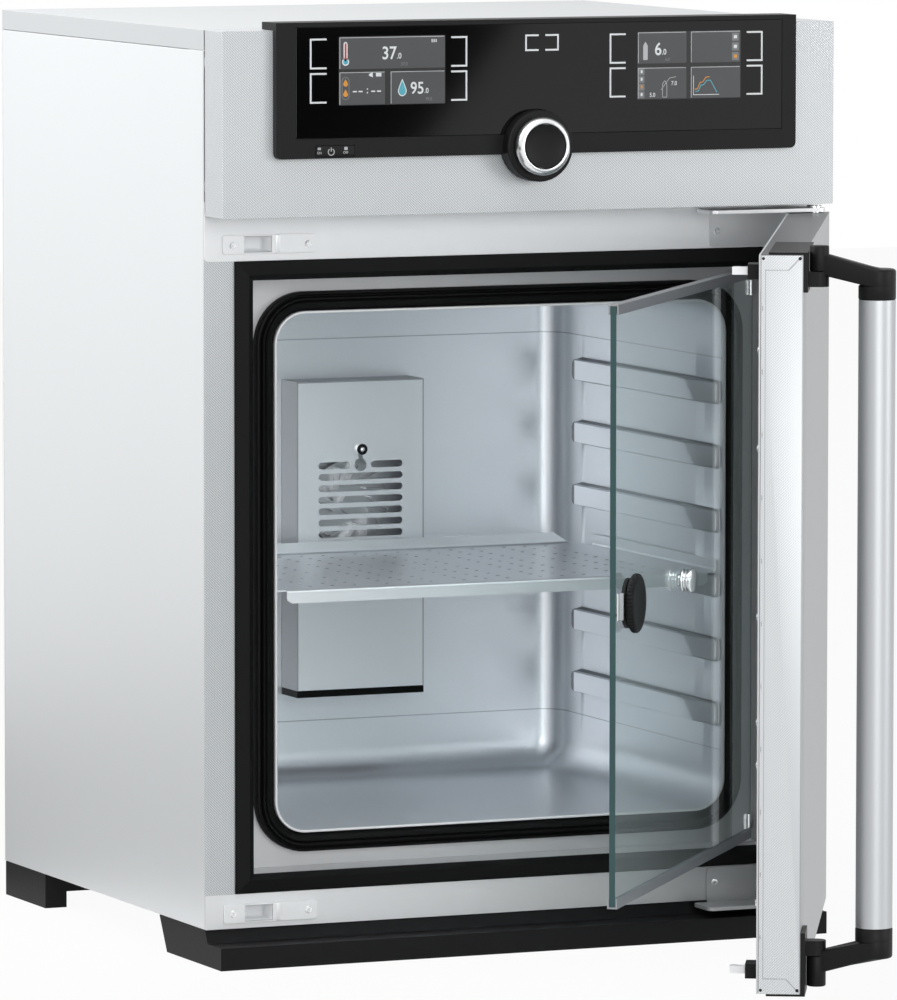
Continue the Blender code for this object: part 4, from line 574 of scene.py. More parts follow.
RUBBER = finish("seal_rubber", (0.0045, 0.0048, 0.0048), 0.5, 0.0, (1300.0, 30.0, 0.5, 0.2),
                bump=0.00004, rough_spread=0.15, specular=0.1)
GLOSS = finish("gloss_cover", (0.002, 0.002, 0.0022), 0.06, 0.0, (300.0, 4.0, 0.1, 0.1),
               rough_spread=0.01, specular=0.38)
CAST = finish("cast_hook", (0.86, 0.87, 0.88), 0.36, 0.4, (800.0, 20.0, 0.04, 0.04),
              rough_spread=0.03)
WHITE = finish("off_white", (0.70, 0.70, 0.69), 0.4, 0.0, (900.0, 10.0, 0.05, 0.05))
SEAM = finish("folded_seam", (0.42, 0.43, 0.44), 0.5, 0.2, (700.0, 40.0, 0.4, 0.2))
POCKET = finish("lock_pocket", (0.88, 0.89, 0.90), 0.4, 0.1, (700.0, 12.0, 0.03, 0.03))
PANE = clear("clear_pane", (0.885, 0.955, 0.955), (0.62, 0.95, 1.0))
PANE_EDGE = finish("pane_edge", (0.022, 0.075, 0.078), 0.12, 0.0, (300.0, 12.0, 0.1, 0.3))
PRINT = finish("light_print", (0.80, 0.82, 0.83), 0.45, 0.0, (2500.0, 40.0, 0.2, 0.1))
SCREEN = finish("screen_black", (0.018, 0.019, 0.020), 0.25, 0.0, (900.0, 8.0, 0.05, 0.05))
TILE = finish("screen_tile", (0.070, 0.072, 0.075), 0.3, 0.0, (2600.0, 30.0, 0.25, 0.2))
TILE_RIM = finish("tile_rim", (0.50, 0.51, 0.52), 0.35, 0.0, (900.0, 30.0, 0.1, 0.4))
DIM = finish("dim_print", (0.20, 0.205, 0.21), 0.4, 0.0, (1500.0, 30.0, 0.1, 0.1))
RED = finish("red_column", (0.60, 0.03, 0.02), 0.35, 0.0, (900.0, 30.0, 0.1, 0.1))
CYAN = finish("cyan_mark", (0.10, 0.45, 0.55), 0.35, 0.0, (900.0, 60.0, 0.1, 0.3))
AMBER = finish("amber_mark", (0.75, 0.32, 0.04), 0.35, 0.0, (900.0, 60.0, 0.1, 0.3))


# Chamber

RIBS = 6
RIB_CORNER = 0.0062
RIB_ROLL = np.array([0.0, 0.0004, 0.0008, 0.0013, 0.0018, 0.0022, 0.0026, 0.0036, 0.0048,
                     RIB_CORNER])
RIB_RISE = 0.0026
FACET_LOW, FACET_LEAN, FACET_SHARE = 0.0695, 0.0275, 0.62
WALL = 0.0012
LEAST_R = 0.002
SIDE_FROM = 0.2
LIP_FRONT = CHAMBER_FRONT + 0.0006
MIDDLE = (0.0, (CHAMBER_LOW + CHAMBER_TOP) / 2)
CHAMBER_H = CHAMBER_TOP - CHAMBER_LOW


def rib_stations(top):
    """Heights across one rib, close together where its edges roll over."""
    return np.concatenate([top - RIB_H + RIB_ROLL, top - RIB_ROLL[::-1]])


def smooth(x):
    """Smoothstep: 3 x^2 - 2 x^3 between nought and one."""
    x = np.clip(x, 0, 1)
    return x * x * (3 - 2 * x)


def rib_bulge(z, y):
    """How far the side wall stands in: a smoothstep of the depth inside each rib's rounded
    rectangle, less a ramp ahead of a slanting line near the front end."""
    total = np.zeros_like(z)
    half_y = (RIB_Y[1] - RIB_Y[0]) / 2
    for index in range(RIBS):
        low = RIB_TOP - index * RIB_PITCH - RIB_H
        past_y = np.abs(y - (RIB_Y[0] + RIB_Y[1]) / 2) - half_y + RIB_CORNER
        past_z = np.abs(z - low - RIB_H / 2) - RIB_H / 2 + RIB_CORNER
        outside = np.hypot(np.maximum(past_y, 0), np.maximum(past_z, 0))
        inside = RIB_CORNER - outside - np.minimum(np.maximum(past_y, past_z), 0)
        crest = FACET_LOW + FACET_LEAN * np.clip((z - low) / RIB_H, 0, 1)
        ramp = np.clip((crest - y) / (crest - RIB_Y[0]), 0, 1)
        total = np.maximum(total, smooth(inside / RIB_RISE) * (1 - FACET_SHARE * ramp))
    return RIB_PROUD * total


def chamber_ring(inset):
    """The chamber's rounded rectangle, with close points where the ribs' edges lie."""
    ring = rounded(2 * (CHAMBER_HALF - inset), CHAMBER_H - 2 * inset,
                   max(CORNER_R - inset, LEAST_R), MIDDLE)
    heights = np.concatenate([rib_stations(RIB_TOP - i * RIB_PITCH) for i in range(RIBS)])
    heights = np.unique(np.round(heights, 6))
    side = np.stack([np.full(len(heights), CHAMBER_HALF - inset), heights], axis=1)
    quarters = np.split(ring, 4)
    return np.concatenate([side, quarters[0], quarters[1],
                           (side * (-1, 1))[::-1], quarters[2], quarters[3]])


def liner_rings(outwards):
    """Rings from the back wall to the lip. Near the back the ring is drawn in along a
    quarter circle: inset R (1 - cos t) at depth R (1 - sin t) from the back wall."""
    t = np.linspace(0, math.pi / 2, 9)
    stations = [(BACK_R * (1 - math.cos(a)), CHAMBER_BACK - BACK_R * (1 - math.sin(a)))
                for a in t[::-1]]
    depths = np.concatenate([[0.334, 0.325, 0.317], RIB_Y[1] - RIB_ROLL,
                             np.linspace(0.30, 0.10, 9), np.linspace(0.096, 0.042, 15),
                             RIB_Y[0] + RIB_ROLL[::-1], [0.0295, 0.0268]])
    stations += [(0.0, y) for y in depths]
    rings = []
    for inset, y in stations:
        ring = chamber_ring(inset)
        bulge = rib_bulge(ring[:, 1], np.full(len(ring), y)) * (np.abs(ring[:, 0]) > SIDE_FROM)
        ring = grown(ring, outwards) if outwards else ring
        x = ring[:, 0] - np.sign(ring[:, 0]) * bulge
        rings.append(np.stack([x, np.full(len(ring), y + outwards * (inset > 0)), ring[:, 1]],
                              axis=-1))
    return rings


def build_liner():
    """Pressed chamber: an inner and an outer skin joined by a rolled rim at the mouth."""
    inner = liner_rings(0.0)
    outer = liner_rings(WALL)
    base = chamber_ring(0.0)
    rim = [lifted(grown(base, out), h - LIP_FRONT, on_front)
           for out, h in ((0.0001, 0.0), (0.0004, 0.0005), (0.0009, 0.0005), (WALL, 0.0))]
    back = lifted(chamber_ring(BACK_R + LEAST_R), -CHAMBER_BACK, on_front)
    rings = np.array([back] + inner + rim + outer[::-1] + [back + (0, WALL, 0)])
    piece("liner_skin", [grid(rings, first=True, last=True)], [LINER], "cabinet",
          ["chamber_liner"], sharp=50)


MITRE_GAP = 0.00004
SEAL_FRONT = -0.0226


def build_seals():
    """Outer seal in four mitred lengths, the inner seal in one moulded ring, and a bright bead
    round the mouth inside it: a pale matte strip, a painted highlight of the liner's rolled rim."""
    section = [(0.0160, 0.0003), (0.0160, 0.0022), (0.0154, 0.0028), (0.0056, 0.0050),
               (0.0048, 0.0053), (0.0040, 0.0051), (0.0008, 0.0034), (0.0, 0.0024), (0.0, 0.0003),
               (0.0030, 0.0003), (0.0130, 0.0003)]
    corners = np.array([(RECESS_HALF, RECESS_TOP), (-RECESS_HALF, RECESS_TOP),
                        (-RECESS_HALF, RECESS_LOW), (RECESS_HALF, RECESS_LOW)])
    heights = np.array([h for _, h in section])
    sides = []
    for index in range(4):
        rings = []
        for corner, toward in ((index, 1), (index + 1, -1)):
            ends = np.array([grown(corners, out)[corner % 4] for out, _ in section])
            run = corners[(index + 1) % 4] - corners[index]
            ends = ends + toward * MITRE_GAP * run / np.linalg.norm(run)
            rings.append(on_front(ends[:, 0], ends[:, 1], heights))
        sides.append(grid(np.array(rings), first=True, last=True))
    piece("outer_seal", sides, [RUBBER], "cabinet", ["outer_gasket"], sharp=30)

    reach = 0.0015
    mouth = rounded(2 * (CHAMBER_HALF + reach), CHAMBER_H + 2 * reach, CORNER_R + reach, MIDDLE,
                    12)
    section = [(out, SEAL_FRONT - below) for out, below in (
        (0.0158, 0.0100), (0.0158, 0.0022), (0.0152, 0.0012), (0.0138, 0.0008),
        (0.0128, 0.0016), (0.0122, 0.0036), (0.0116, 0.0036), (0.0112, 0.0012), (0.0104, 0.0),
        (0.0094, 0.0), (0.0086, 0.0010), (0.0080, 0.0022), (0.0074, 0.0012), (0.0066, 0.0006),
        (0.0050, 0.0008), (0.0020, 0.0026), (0.0006, 0.0040), (0.0, 0.0052), (0.0, 0.0100))]
    piece("inner_seal", [framed(mouth, section, on_front)], [RUBBER], "cabinet",
          ["inner_gasket"], sharp=40)

    # Painted highlight: the pale matte bead stands for the light caught on the liner's rolled
    # steel rim.
    lip = rounded(2 * CHAMBER_HALF, CHAMBER_H, CORNER_R, MIDDLE, 12)
    bead = [(-0.0009, -0.0263), (-0.0009, -0.0240), (-0.0005, -0.0235), (0.0008, -0.0235),
            (0.0012, -0.0241), (0.0012, -0.0263)]
    piece("mouth_bead", [framed(lip, bead, on_front)], [POCKET], "cabinet",
          sharp=60)


def build_frame_strips():
    """The casing's textured sheet folded over the front frame, on both sides of the seal."""
    low, top, outer, inner = 0.0590, 0.5874, HALF - GAP, 0.2529
    under, over, edge = -0.00002, 0.00014, 0.00004
    strips = []
    for u0, u1 in ((-outer, -inner), (inner, outer)):
        outline = np.array([(u0, low), (u1, low), (u1, top), (u0, top)])
        strips.append(slab(outline, under, over, edge, on_front, 1))
    piece("frame_strips", strips, [TEXTURED], "cabinet", sharp=30)


def build_hood_edge():
    """A thin dark strip at the fan hood's open lower edge, under its front and two sides."""
    low, top, edge = 0.1792, 0.1853, 0.0003
    half, front, back = 0.0603, 0.3262, 0.3610
    inner, behind = half - 0.0022, front + 0.0026
    outline = [(-half, back), (-half, front), (half, front), (half, back), (inner, back),
               (inner, behind), (-inner, behind), (-inner, back)]
    piece("hood_edge", [slab(np.array(outline), low, top, edge, on_top, 2)], [RUBBER],
          "cabinet", sharp=30)


# Sheet with holes

def pierced(us, vs, holes, skip=lambda i, j: False):
    """A flat sheet cut into cells. A cell with a hole is a ring of sixteen quads between
    the cell's edge and a circle, and any other is four by four quads."""
    side, around, first_turn = 4, 16, 0.375
    t = np.arange(side) / side
    points, faces = [], []

    def add(block, quads):
        start = sum(len(b) for b in points)
        points.append(block)
        faces.extend((np.array(quads) + start).tolist())

    ring_quads = [[k, (k + 1) % around, around + (k + 1) % around, around + k]
                  for k in range(around)]
    row = side + 1
    block_quads = [[row * r + c, row * r + c + 1, row * (r + 1) + c + 1, row * (r + 1) + c]
                   for r in range(side) for c in range(side)]
    for i in range(len(us) - 1):
        for j in range(len(vs) - 1):
            if skip(i, j):
                continue
            u0, u1, v0, v1 = us[i], us[i + 1], vs[j], vs[j + 1]
            if (i, j) in holes:
                cu, cv, radius = holes[(i, j)]
                still = 0 * t
                edge = np.concatenate([
                    np.stack([a + b, c + d], axis=1) for a, b, c, d in (
                        (u0, (u1 - u0) * t, v0, still), (u1, still, v0, (v1 - v0) * t),
                        (u1, (u0 - u1) * t, v1, still), (u0, still, v1, (v0 - v1) * t))])
                angle = (np.arange(around) / around - first_turn) * TAU
                hole = np.stack([cu + radius * np.cos(angle), cv + radius * np.sin(angle)],
                                axis=1)
                add(np.concatenate([edge, hole]), ring_quads)
            else:
                f = np.arange(row) / side
                gu, gv = np.meshgrid(u0 + (u1 - u0) * f, v0 + (v1 - v0) * f)
                add(np.stack([gu.ravel(), gv.ravel()], axis=1), block_quads)
    return np.concatenate(points), faces


def folded(distance, radius):
    """Position along and below a fold: an arc of the given radius and then straight."""
    turn = np.clip(distance / radius, 0, math.pi / 2)
    rest = np.maximum(distance - radius * math.pi / 2, 0)
    return radius * np.sin(turn), radius * (1 - np.cos(turn)) + rest


def walled(obj, thickness, offset, rim=0):
    """A wall on an open surface."""
    wall = obj.modifiers.new("wall", "SOLIDIFY")
    wall.thickness = thickness
    wall.offset = offset
    wall.material_offset_rim = rim
    return obj


TRAY_FACE = 0.3080
TRAY_HALF, TRAY_FRONT, TRAY_BACK = 0.2025, 0.031, 0.3075
TRAY_FOLD = 0.0022
TRAY_WALL = 0.0012
TONGUE_HALF = 0.1925
TONGUE_R = 0.005
NOTCH_FRONT, NOTCH_SIDE, NOTCH_BACK = 0.0375, 0.2802, 0.3000
HOLE_R = 0.0022
HOLE_COLUMNS = [c + d for c in (-0.1417, -0.0713, -0.0004, 0.0708, 0.1415)
                for d in (-0.0203, 0.0, 0.0203)]
HOLE_ROWS = [r + d for r in (0.0745, 0.1396, 0.2050, 0.2700) for d in (-0.0202, 0.0, 0.0202)]


def between(values):
    """The middles between neighbouring values."""
    return [(a + b) / 2 for a, b in zip(values, values[1:])]


def build_shelf():
    """Perforated tray: the flat sheet's edges run over folds, down in front and up at the
    sides and the back, and the holes stand in groups of three by three."""
    arc = TRAY_FOLD * math.pi / 2
    side_flat = TRAY_HALF - TRAY_FOLD
    v_front, v_back = TRAY_FRONT + TRAY_FOLD, TRAY_BACK - TRAY_FOLD
    fold = [arc * k / 3 for k in range(4)]
    right = [side_flat + f for f in fold] + [side_flat + arc + 0.0078]
    us = np.array([-u for u in right[::-1]]
                  + [-TONGUE_HALF, -0.1745, *between(HOLE_COLUMNS), 0.1745, TONGUE_HALF] + right)
    vs = np.array([v_front - arc - 0.0090] + [v_front - f for f in fold[::-1]]
                  + [NOTCH_FRONT, 0.0425, *between(HOLE_ROWS), NOTCH_BACK, 0.3030]
                  + [v_back + f for f in fold] + [v_back + arc + 0.0078])
    holes = {(int(np.searchsorted(us, column)) - 1, int(np.searchsorted(vs, row)) - 1):
             (column, row, HOLE_R) for column in HOLE_COLUMNS for row in HOLE_ROWS}

    def corner(i, j):
        u, v = (us[i] + us[i + 1]) / 2, (vs[j] + vs[j + 1]) / 2
        if abs(u) > side_flat:
            return v < NOTCH_FRONT or v > NOTCH_SIDE
        return abs(u) > TONGUE_HALF and (v < v_front or v > NOTCH_BACK)

    flat, faces = pierced(us, vs, holes, corner)
    u, v = flat[:, 0], flat[:, 1]
    side, up_side = folded(np.maximum(np.abs(u) - side_flat, 0), TRAY_FOLD)
    ahead, down = folded(np.maximum(v_front - v, 0), TRAY_FOLD)
    rear = np.maximum(v - v_back, 0)
    behind, up_back = folded(rear, TRAY_FOLD)
    x = np.sign(u) * (np.minimum(np.abs(u), side_flat) + side)
    y = np.clip(v, v_front, v_back) - ahead + behind
    tapered = TONGUE_HALF - 1.5 * np.maximum(rear - 0.001, 0)
    x = x * np.where(rear > 0, tapered / TONGUE_HALF, 1)
    cut = np.maximum(down - 0.0062, 0)
    drawn_in = TONGUE_HALF - TONGUE_R + np.sqrt(np.maximum(TONGUE_R ** 2 - cut ** 2, 0))
    x = x * np.where(down > 0, drawn_in / TONGUE_HALF, 1)
    z = TRAY_FACE - down + up_side + up_back
    tray = piece("perforated_tray", [(np.stack([x, y, z], axis=-1), faces, 0)], [SHEET],
                 "sliding_shelf", ["shelf"], sharp=None, closed=False)
    walled(tray, TRAY_WALL, -1.0)
    # Painted shade: each hole's inner wall takes the black rubber finish, for the shade inside the
    # hole; a bright steel ring lies round it.
    rim = [(0.0029, 0.00002), (HOLE_R, -0.0002), (0.0021, -0.0013)]
    rims = []
    for column in HOLE_COLUMNS:
        for row in HOLE_ROWS:
            for step in (0, 1):
                profile = raised(rim[step:step + 2], TRAY_FACE)
                points, ring, _ = turned(profile, (column, row), on_top, 16)
                rims.append((points, ring[:16], step))
    piece("hole_rims", rims, [BRIGHT, RUBBER], "sliding_shelf", sharp=20,
          closed=False)


# Control panel

BEZEL_Y = PANEL_Y - GAP - 0.0067
COLLAR_Y = BEZEL_Y - 0.0107
COVER_SHIFT = 0.0055


def panel_plane(u, v, h):
    """The panel's face: h stands forward of the gloss cover."""
    return on_front(u, v, h - BEZEL_Y)


def cover_outline():
    """The cover's rectangle, notched by an arc round the knob's collar."""
    ring = COLLAR_R + GAP
    low, top, left, right = 0.6907, 0.7825, -0.222 + COVER_SHIFT, 0.222 + COVER_SHIFT
    start = math.asin((low - KNOB_Z) / ring)
    angle = np.linspace(math.pi - start, start, 49)
    arc = np.stack([ring * np.cos(angle), KNOB_Z + ring * np.sin(angle)], axis=1)
    corners = softened([(right, low), (right, top), (left, top), (left, low)], 0.0012, 3)
    return np.concatenate([corners, arc])


def build_cover():
    """The gloss cover in front of both screens."""
    piece("gloss_plate", [slab(cover_outline(), -0.0012, 0.0, 0.0003, panel_plane)],
          [GLOSS], "cabinet", ["display_glass"], sharp=10)


def tile(u0, v0, u1, v1, low, high, finish=0, radius=0.0006, edge=0.00003):
    """A rounded rectangle on the panel's face, from its two corners."""
    outline = rounded(u1 - u0, v1 - v0, radius, ((u0 + u1) / 2, (v0 + v1) / 2), 2)
    return slab(outline, low, high, edge, panel_plane, 1, finish)


def stroke(points, width, low, high, finish=0, shut=False):
    """A flat line of even width: each joint is mitred along the mean normal."""
    points = np.array(points, float)
    if shut:
        half = width / 2
        return framed(points, [(-half, low), (-half, high), (half, high), (half, low)],
                      panel_plane, finish)
    run = np.diff(points, axis=0)
    normal = np.stack([-run[:, 1], run[:, 0]], axis=1)
    normal /= np.linalg.norm(normal, axis=1, keepdims=True)
    mean = np.concatenate([normal[:1], normal[:-1] + normal[1:], normal[-1:]])
    mean /= np.linalg.norm(mean, axis=1, keepdims=True)
    lean = np.concatenate([normal[:1], normal[1:], normal[-1:]])
    mean /= np.maximum((mean * lean).sum(axis=1, keepdims=True), MITRE_LIMIT)
    outline = np.concatenate([points + mean * width / 2, (points - mean * width / 2)[::-1]])
    rings = [lifted(outline, h, panel_plane) for h in (low, high)]
    return grid(np.array(rings), first=True, last=True, finish=finish)


CAPITAL = 0.66
NARROW = 0.9


def figures(text, height, u, v, h, finish):
    """Plain numbers, filled from their outlines and laid on the panel's face."""
    curve = bpy.data.curves.new("numbers", "FONT")
    curve.body = text
    curve.size = 1.0
    curve.resolution_u = 4
    curve.offset = 0.014
    holder = placed("numbers", curve)
    mesh = bpy.data.meshes.new_from_object(
        holder.evaluated_get(bpy.context.evaluated_depsgraph_get()))
    flat = np.zeros(len(mesh.vertices) * 3)
    mesh.vertices.foreach_get("co", flat)
    flat = flat.reshape(-1, 3) * height / CAPITAL
    faces = [list(p.vertices) for p in mesh.polygons]
    bpy.data.objects.remove(holder)
    bpy.data.curves.remove(curve)
    bpy.data.meshes.remove(mesh)
    return lifted(flat[:, :2] * (NARROW, 1) + (u, v), h, panel_plane), faces, finish


def layer(outline, low, high, finish, edge=0.00002):
    """A thin mark on the panel's face."""
    return slab(outline, low, high, edge, panel_plane, 1, finish)


def drop(u, v, width, height, low, high, finish):
    """A drop: a circle whose upper half is drawn up to a point, as cos and sin of an angle
    with the width shrinking as the height rises."""
    angle = np.arange(24) * TAU / 24
    rise = np.sin(angle)
    upper = 0.66
    narrow = np.sqrt(np.maximum(1 - np.maximum(rise, 0) ** 0.8, 0.02))
    reach = height * np.where(rise > 0, upper, 1 - upper)
    outline = np.stack([u + width / 2 * np.cos(angle) * narrow, v + reach * rise], axis=1)
    return layer(outline, low, high, finish)


def top_left_line(u0, v0, u1, v1, low, high, finish):
    """A fine light line along a tile's upper and left edges."""
    line = [(u1 - 0.0005, v1 - 0.0004), (u0 + 0.0005, v1 - 0.0004), (u0 + 0.0005, v0 + 0.0004)]
    return stroke(line, 0.0006, low, high, finish)


def build_screens():
    """Two screens with tiles, plain numbers and small pictures, each a thin layer."""
    back, body, plate, low, high = -0.0008, 0.00004, 0.00008, 0.00011, 0.00014
    colours = [SCREEN, TILE, TILE_RIM, PRINT, RED, CYAN, AMBER, DIM]
    dark, field, rim, light, red, cyan, amber, dim = range(len(colours))

    def screen(name, outline, fields, marks, numbers, solid):
        shapes = [tile(*outline, back, body, dark)]
        for corners in fields:
            shapes += [tile(*corners, body, plate, field),
                       top_left_line(*corners, plate, low, rim)]
        shapes += marks + [figures(text, height, u, v, low, mark)
                           for text, height, u, v, mark in numbers]
        piece(name, shapes, colours, "cabinet", [solid], sharp=30, closed=False)

    left = [tile(-0.1740, 0.7530, -0.1704, 0.7700, plate, low, light, 0.0017),
            layer(circle(0.0032, (-0.1722, 0.7535), 24), plate, low, light),
            tile(-0.1730, 0.7540, -0.1714, 0.7690, low, high, red),
            layer(circle(0.0022, (-0.1722, 0.7535), 20), low, high, cyan),
            drop(-0.1212, 0.7292, 0.0080, 0.0146, plate, low, light),
            drop(-0.1212, 0.7292, 0.0064, 0.0122, low, high, cyan),
            drop(-0.1722, 0.7352, 0.0044, 0.0060, plate, low, amber),
            drop(-0.1722, 0.7267, 0.0044, 0.0060, plate, low, amber),
            stroke(rounded(0.0062, 0.0182, 0.0028, (-0.1722, 0.7316), 4), 0.0006, plate, low, dim,
                   shut=True),
            tile(-0.1450, 0.7410, -0.1400, 0.7440, plate, low, light, 0.0004),
            layer(np.array([(-0.1512, 0.7418), (-0.1478, 0.7404), (-0.1478, 0.7446),
                            (-0.1512, 0.7432)]), plate, low, light, 0.00001)]
    dashes = [(u, 0.7283, 0.0036, 0.0011, 0.0002) for u in (-0.1657, -0.1605, -0.1492, -0.1440)]
    dashes += [(-0.1532, v, 0.0012, 0.0012, 0.0004) for v in (0.7272, 0.7302)]
    dashes += [(-0.0948 + 0.0018 * i, 0.7685, 0.0010, 0.0027, 0.0002) for i in range(3)]
    left += [tile(u, v, u + width, v + height, plate, low, light, radius, 0.00001)
             for u, v, width, height, radius in dashes]
    screen("left_screen", (-0.1783, 0.7175, -0.0823, 0.7745),
           ((-0.1778, 0.7475, -0.0828, 0.7738), (-0.1778, 0.7180, -0.1368, 0.7450),
            (-0.1318, 0.7180, -0.0828, 0.7450)), left,
           (("37", 0.0098, -0.1397, 0.7553, light), (".0", 0.0044, -0.1262, 0.7556, light),
            ("37.0", 0.0026, -0.1225, 0.7497, dim), ("95", 0.0092, -0.1140, 0.7262, light),
            (".0", 0.0040, -0.1013, 0.7266, light), ("95.0", 0.0024, -0.1000, 0.7205, dim)),
           "left_display")

    def flask(u0, u1, v0, shoulder, tip):
        corners = [(u0, v0), (u1, v0), (u1, shoulder), ((u0 + u1) / 2, tip), (u0, shoulder)]
        return softened(corners, 0.0006, 2)

    rise = np.array([(0.0, 0.0), (0.0028, 0.0005), (0.0050, 0.0052), (0.0078, 0.0058),
                     (0.0104, 0.0092), (0.0138, 0.0094), (0.0165, 0.0050), (0.0200, -0.0010)])
    right = [layer(flask(0.0985, 0.1027, 0.7505, 0.7625, 0.7660), plate, low, rim),
             stroke(flask(0.1165, 0.1205, 0.7190, 0.7300, 0.7330), 0.0005, plate, low, rim,
                    shut=True),
             stroke([(0.1150, 0.7250), (0.1230, 0.7350), (0.1290, 0.7360)], 0.0005, plate, low,
                    rim),
             stroke([(0.1452, 0.7365), (0.1452, 0.7205), (0.1690, 0.7205)], 0.0005, plate, low,
                    light),
             stroke(rise + (0.1470, 0.7232), 0.0007, low, high, cyan),
             stroke(rise[:6] * (1, 1.1) + (0.1462, 0.7250), 0.0007, high, high + 0.00002, amber)]
    for step, mark in enumerate((light, light, amber)):
        v = 0.7687 - step * 0.0082
        right += [tile(0.1808, v - 0.0034, 0.1872, v + 0.0034, plate, low, dim, 0.0005),
                  tile(0.1825, v - 0.0014, 0.1855, v + 0.0014, low, high, mark, 0.0004)]
    for step, mark in enumerate((light, light, amber, light)):
        v = 0.7405 - step * 0.0064
        right += [tile(0.0945, v - 0.0028, 0.0998, v + 0.0028, plate, low, dim, 0.0004),
                  tile(0.0963, v - 0.0010, 0.0980, v + 0.0016, low, high, mark, 0.0003)]
    screen("right_screen", (0.0931, 0.7172, 0.1891, 0.7742),
           [(u0, v0, u1, v1) for u0, u1 in ((0.0936, 0.1386), (0.1426, 0.1886))
            for v0, v1 in ((0.7178, 0.7440), (0.7475, 0.7737))], right,
           (("6", 0.0098, 0.1090, 0.7545, light), (".0", 0.0044, 0.1157, 0.7548, light),
            ("6.0", 0.0024, 0.1190, 0.7495, dim), ("7.0", 0.0032, 0.1245, 0.7290, light),
            ("5.0", 0.0032, 0.1045, 0.7195, light)), "right_display")


def build_marks():
    """Square brackets, each of two short arms and a back, printed beside the screens and
    round the middle key field."""
    low, high, width = 0.00003, 0.00007, 0.0015
    brackets = [(u_open, u_back, v0, v1) for u_back, u_open in (
        (-0.2034, -0.1892), (-0.0632, -0.0770), (0.0684, 0.0824), (0.2087, 0.1946))
        for v0, v1 in ((0.7203, 0.7440), (0.7486, 0.7724))]
    brackets += [(0.0026, -0.0090, 0.7605, 0.7728), (0.0086, 0.0202, 0.7605, 0.7728)]
    piece("key_brackets", [stroke([(u_open, v0), (u_back, v0), (u_back, v1), (u_open, v1)],
                                  width, low, high) for u_open, u_back, v0, v1 in brackets],
          [PRINT], "cabinet", sharp=30)


def build_knob():
    """Turned ring with a rolled face, and in it a dished cap."""
    base = GAP + 0.0015 - COLLAR_Y
    ring = [(0.0186, 0.0), (0.0186, 0.0070), (0.0189, 0.0080), (0.0196, 0.0086), (0.0205, 0.0086),
            (0.0216, 0.0080), (0.0228, 0.0068), (0.0237, 0.0054), (0.0244, 0.0038),
            (0.0247, 0.0022), (0.0247, 0.0010), (0.0243, 0.0003), (0.0236, 0.0), (0.0186, 0.0)]
    cap = [(0.0, 0.0060), (0.0060, 0.0061), (0.0120, 0.0066), (0.0155, 0.0073), (0.0170, 0.0078),
           (0.0178, 0.0079), (0.0182, 0.0074), (0.0182, 0.0010), (0.0034, 0.0010),
           (0.0034, 0.0053), (0.0, 0.0053)]
    for name, profile, around, mat, slot, solid in (
            ("turned_ring", ring, 96, SPUN, "bright_steel", "knob_ring"),
            ("dished_cap", cap, 72, MOULDED, "black_plastic", "knob_cap")):
        piece(name, [turned(raised(profile, base), (0.0, KNOB_Z), on_front, around)], [mat],
              "control_knob", [solid], sharp=50)


def build_power_key():
    """Rocker key with its printed marks: on, the power sign and off."""
    u0, u1, v0, v1 = -0.1987, -0.1643, 0.6758, 0.6846
    under, face = -0.0044, 0.0006
    low, high, line = face - 0.00002, face + 0.00004, 0.0008
    sign_u, sign_v, sign_r = -0.1853, 0.6794, 0.0027
    outline = rounded(u1 - u0, v1 - v0, 0.0010, ((u0 + u1) / 2, (v0 + v1) / 2), 4)
    angle = np.linspace(math.radians(120), math.radians(420), 15)
    ring = np.stack([sign_u + sign_r * np.cos(angle), sign_v + sign_r * np.sin(angle)], axis=1)
    shapes = [slab(outline, under, face, 0.0004, panel_plane, 2), stroke(ring, line, low, high, 1),
              stroke([(sign_u, 0.6798), (sign_u, 0.6832)], line, low, high, 1),
              figures("ON", 0.0019, -0.1980, 0.6778, high, 1),
              figures("OFF", 0.0019, -0.1746, 0.6778, high, 1),
              tile(-0.1974, 0.6812, -0.1946, 0.6832, low, high, 1, 0.0003, 0.00001),
              tile(-0.1736, 0.6808, -0.1706, 0.6834, low, high, 1, 0.0003, 0.00001)]
    piece("rocker_key", shapes, [MOULDED, TILE_RIM], "power_key",
          ["power_button"], closed=False)


# Handle and door fittings, worked out for the closed door

def handle_plane(u, v, h):
    """Upright cross-sections of the handle: u and v are the plan, h is the height."""
    return to_main_door(on_top(u, v, h))


def door_back(u, v, h):
    """The closed door's inner face: u runs from right to left."""
    return to_main_door(on_back(u, v, h - DOOR_BACK_Y))


def door_edge(u, v, h):
    """The closed door's free edge: u is the depth and v the height."""
    return to_main_door(np.stack([DOOR_EDGE_X - h, u, v], axis=-1))


ARM_R = TUBE_R + 0.0002
ARM_NECK = 0.0058
ARM_LOW, ARM_LOW_RISE = 0.0095, 0.0100
ARM_TOP, ARM_TOP_RISE = 0.0245, 0.0130
BOSS_R = 0.0077


def build_tube():
    """Drawn tube between the elbows."""
    bore = TUBE_R - 0.0015
    profile = [(bore, TUBE_LOW), (TUBE_R, TUBE_LOW), (TUBE_R, TUBE_TOP), (bore, TUBE_TOP),
               (bore, TUBE_LOW)]
    piece("drawn_tube", [turned(profile, (HANDLE_X, HANDLE_TUBE_Y), handle_plane, 96)],
          [TUBE], "handle", ["handle_tube"], sharp=40)


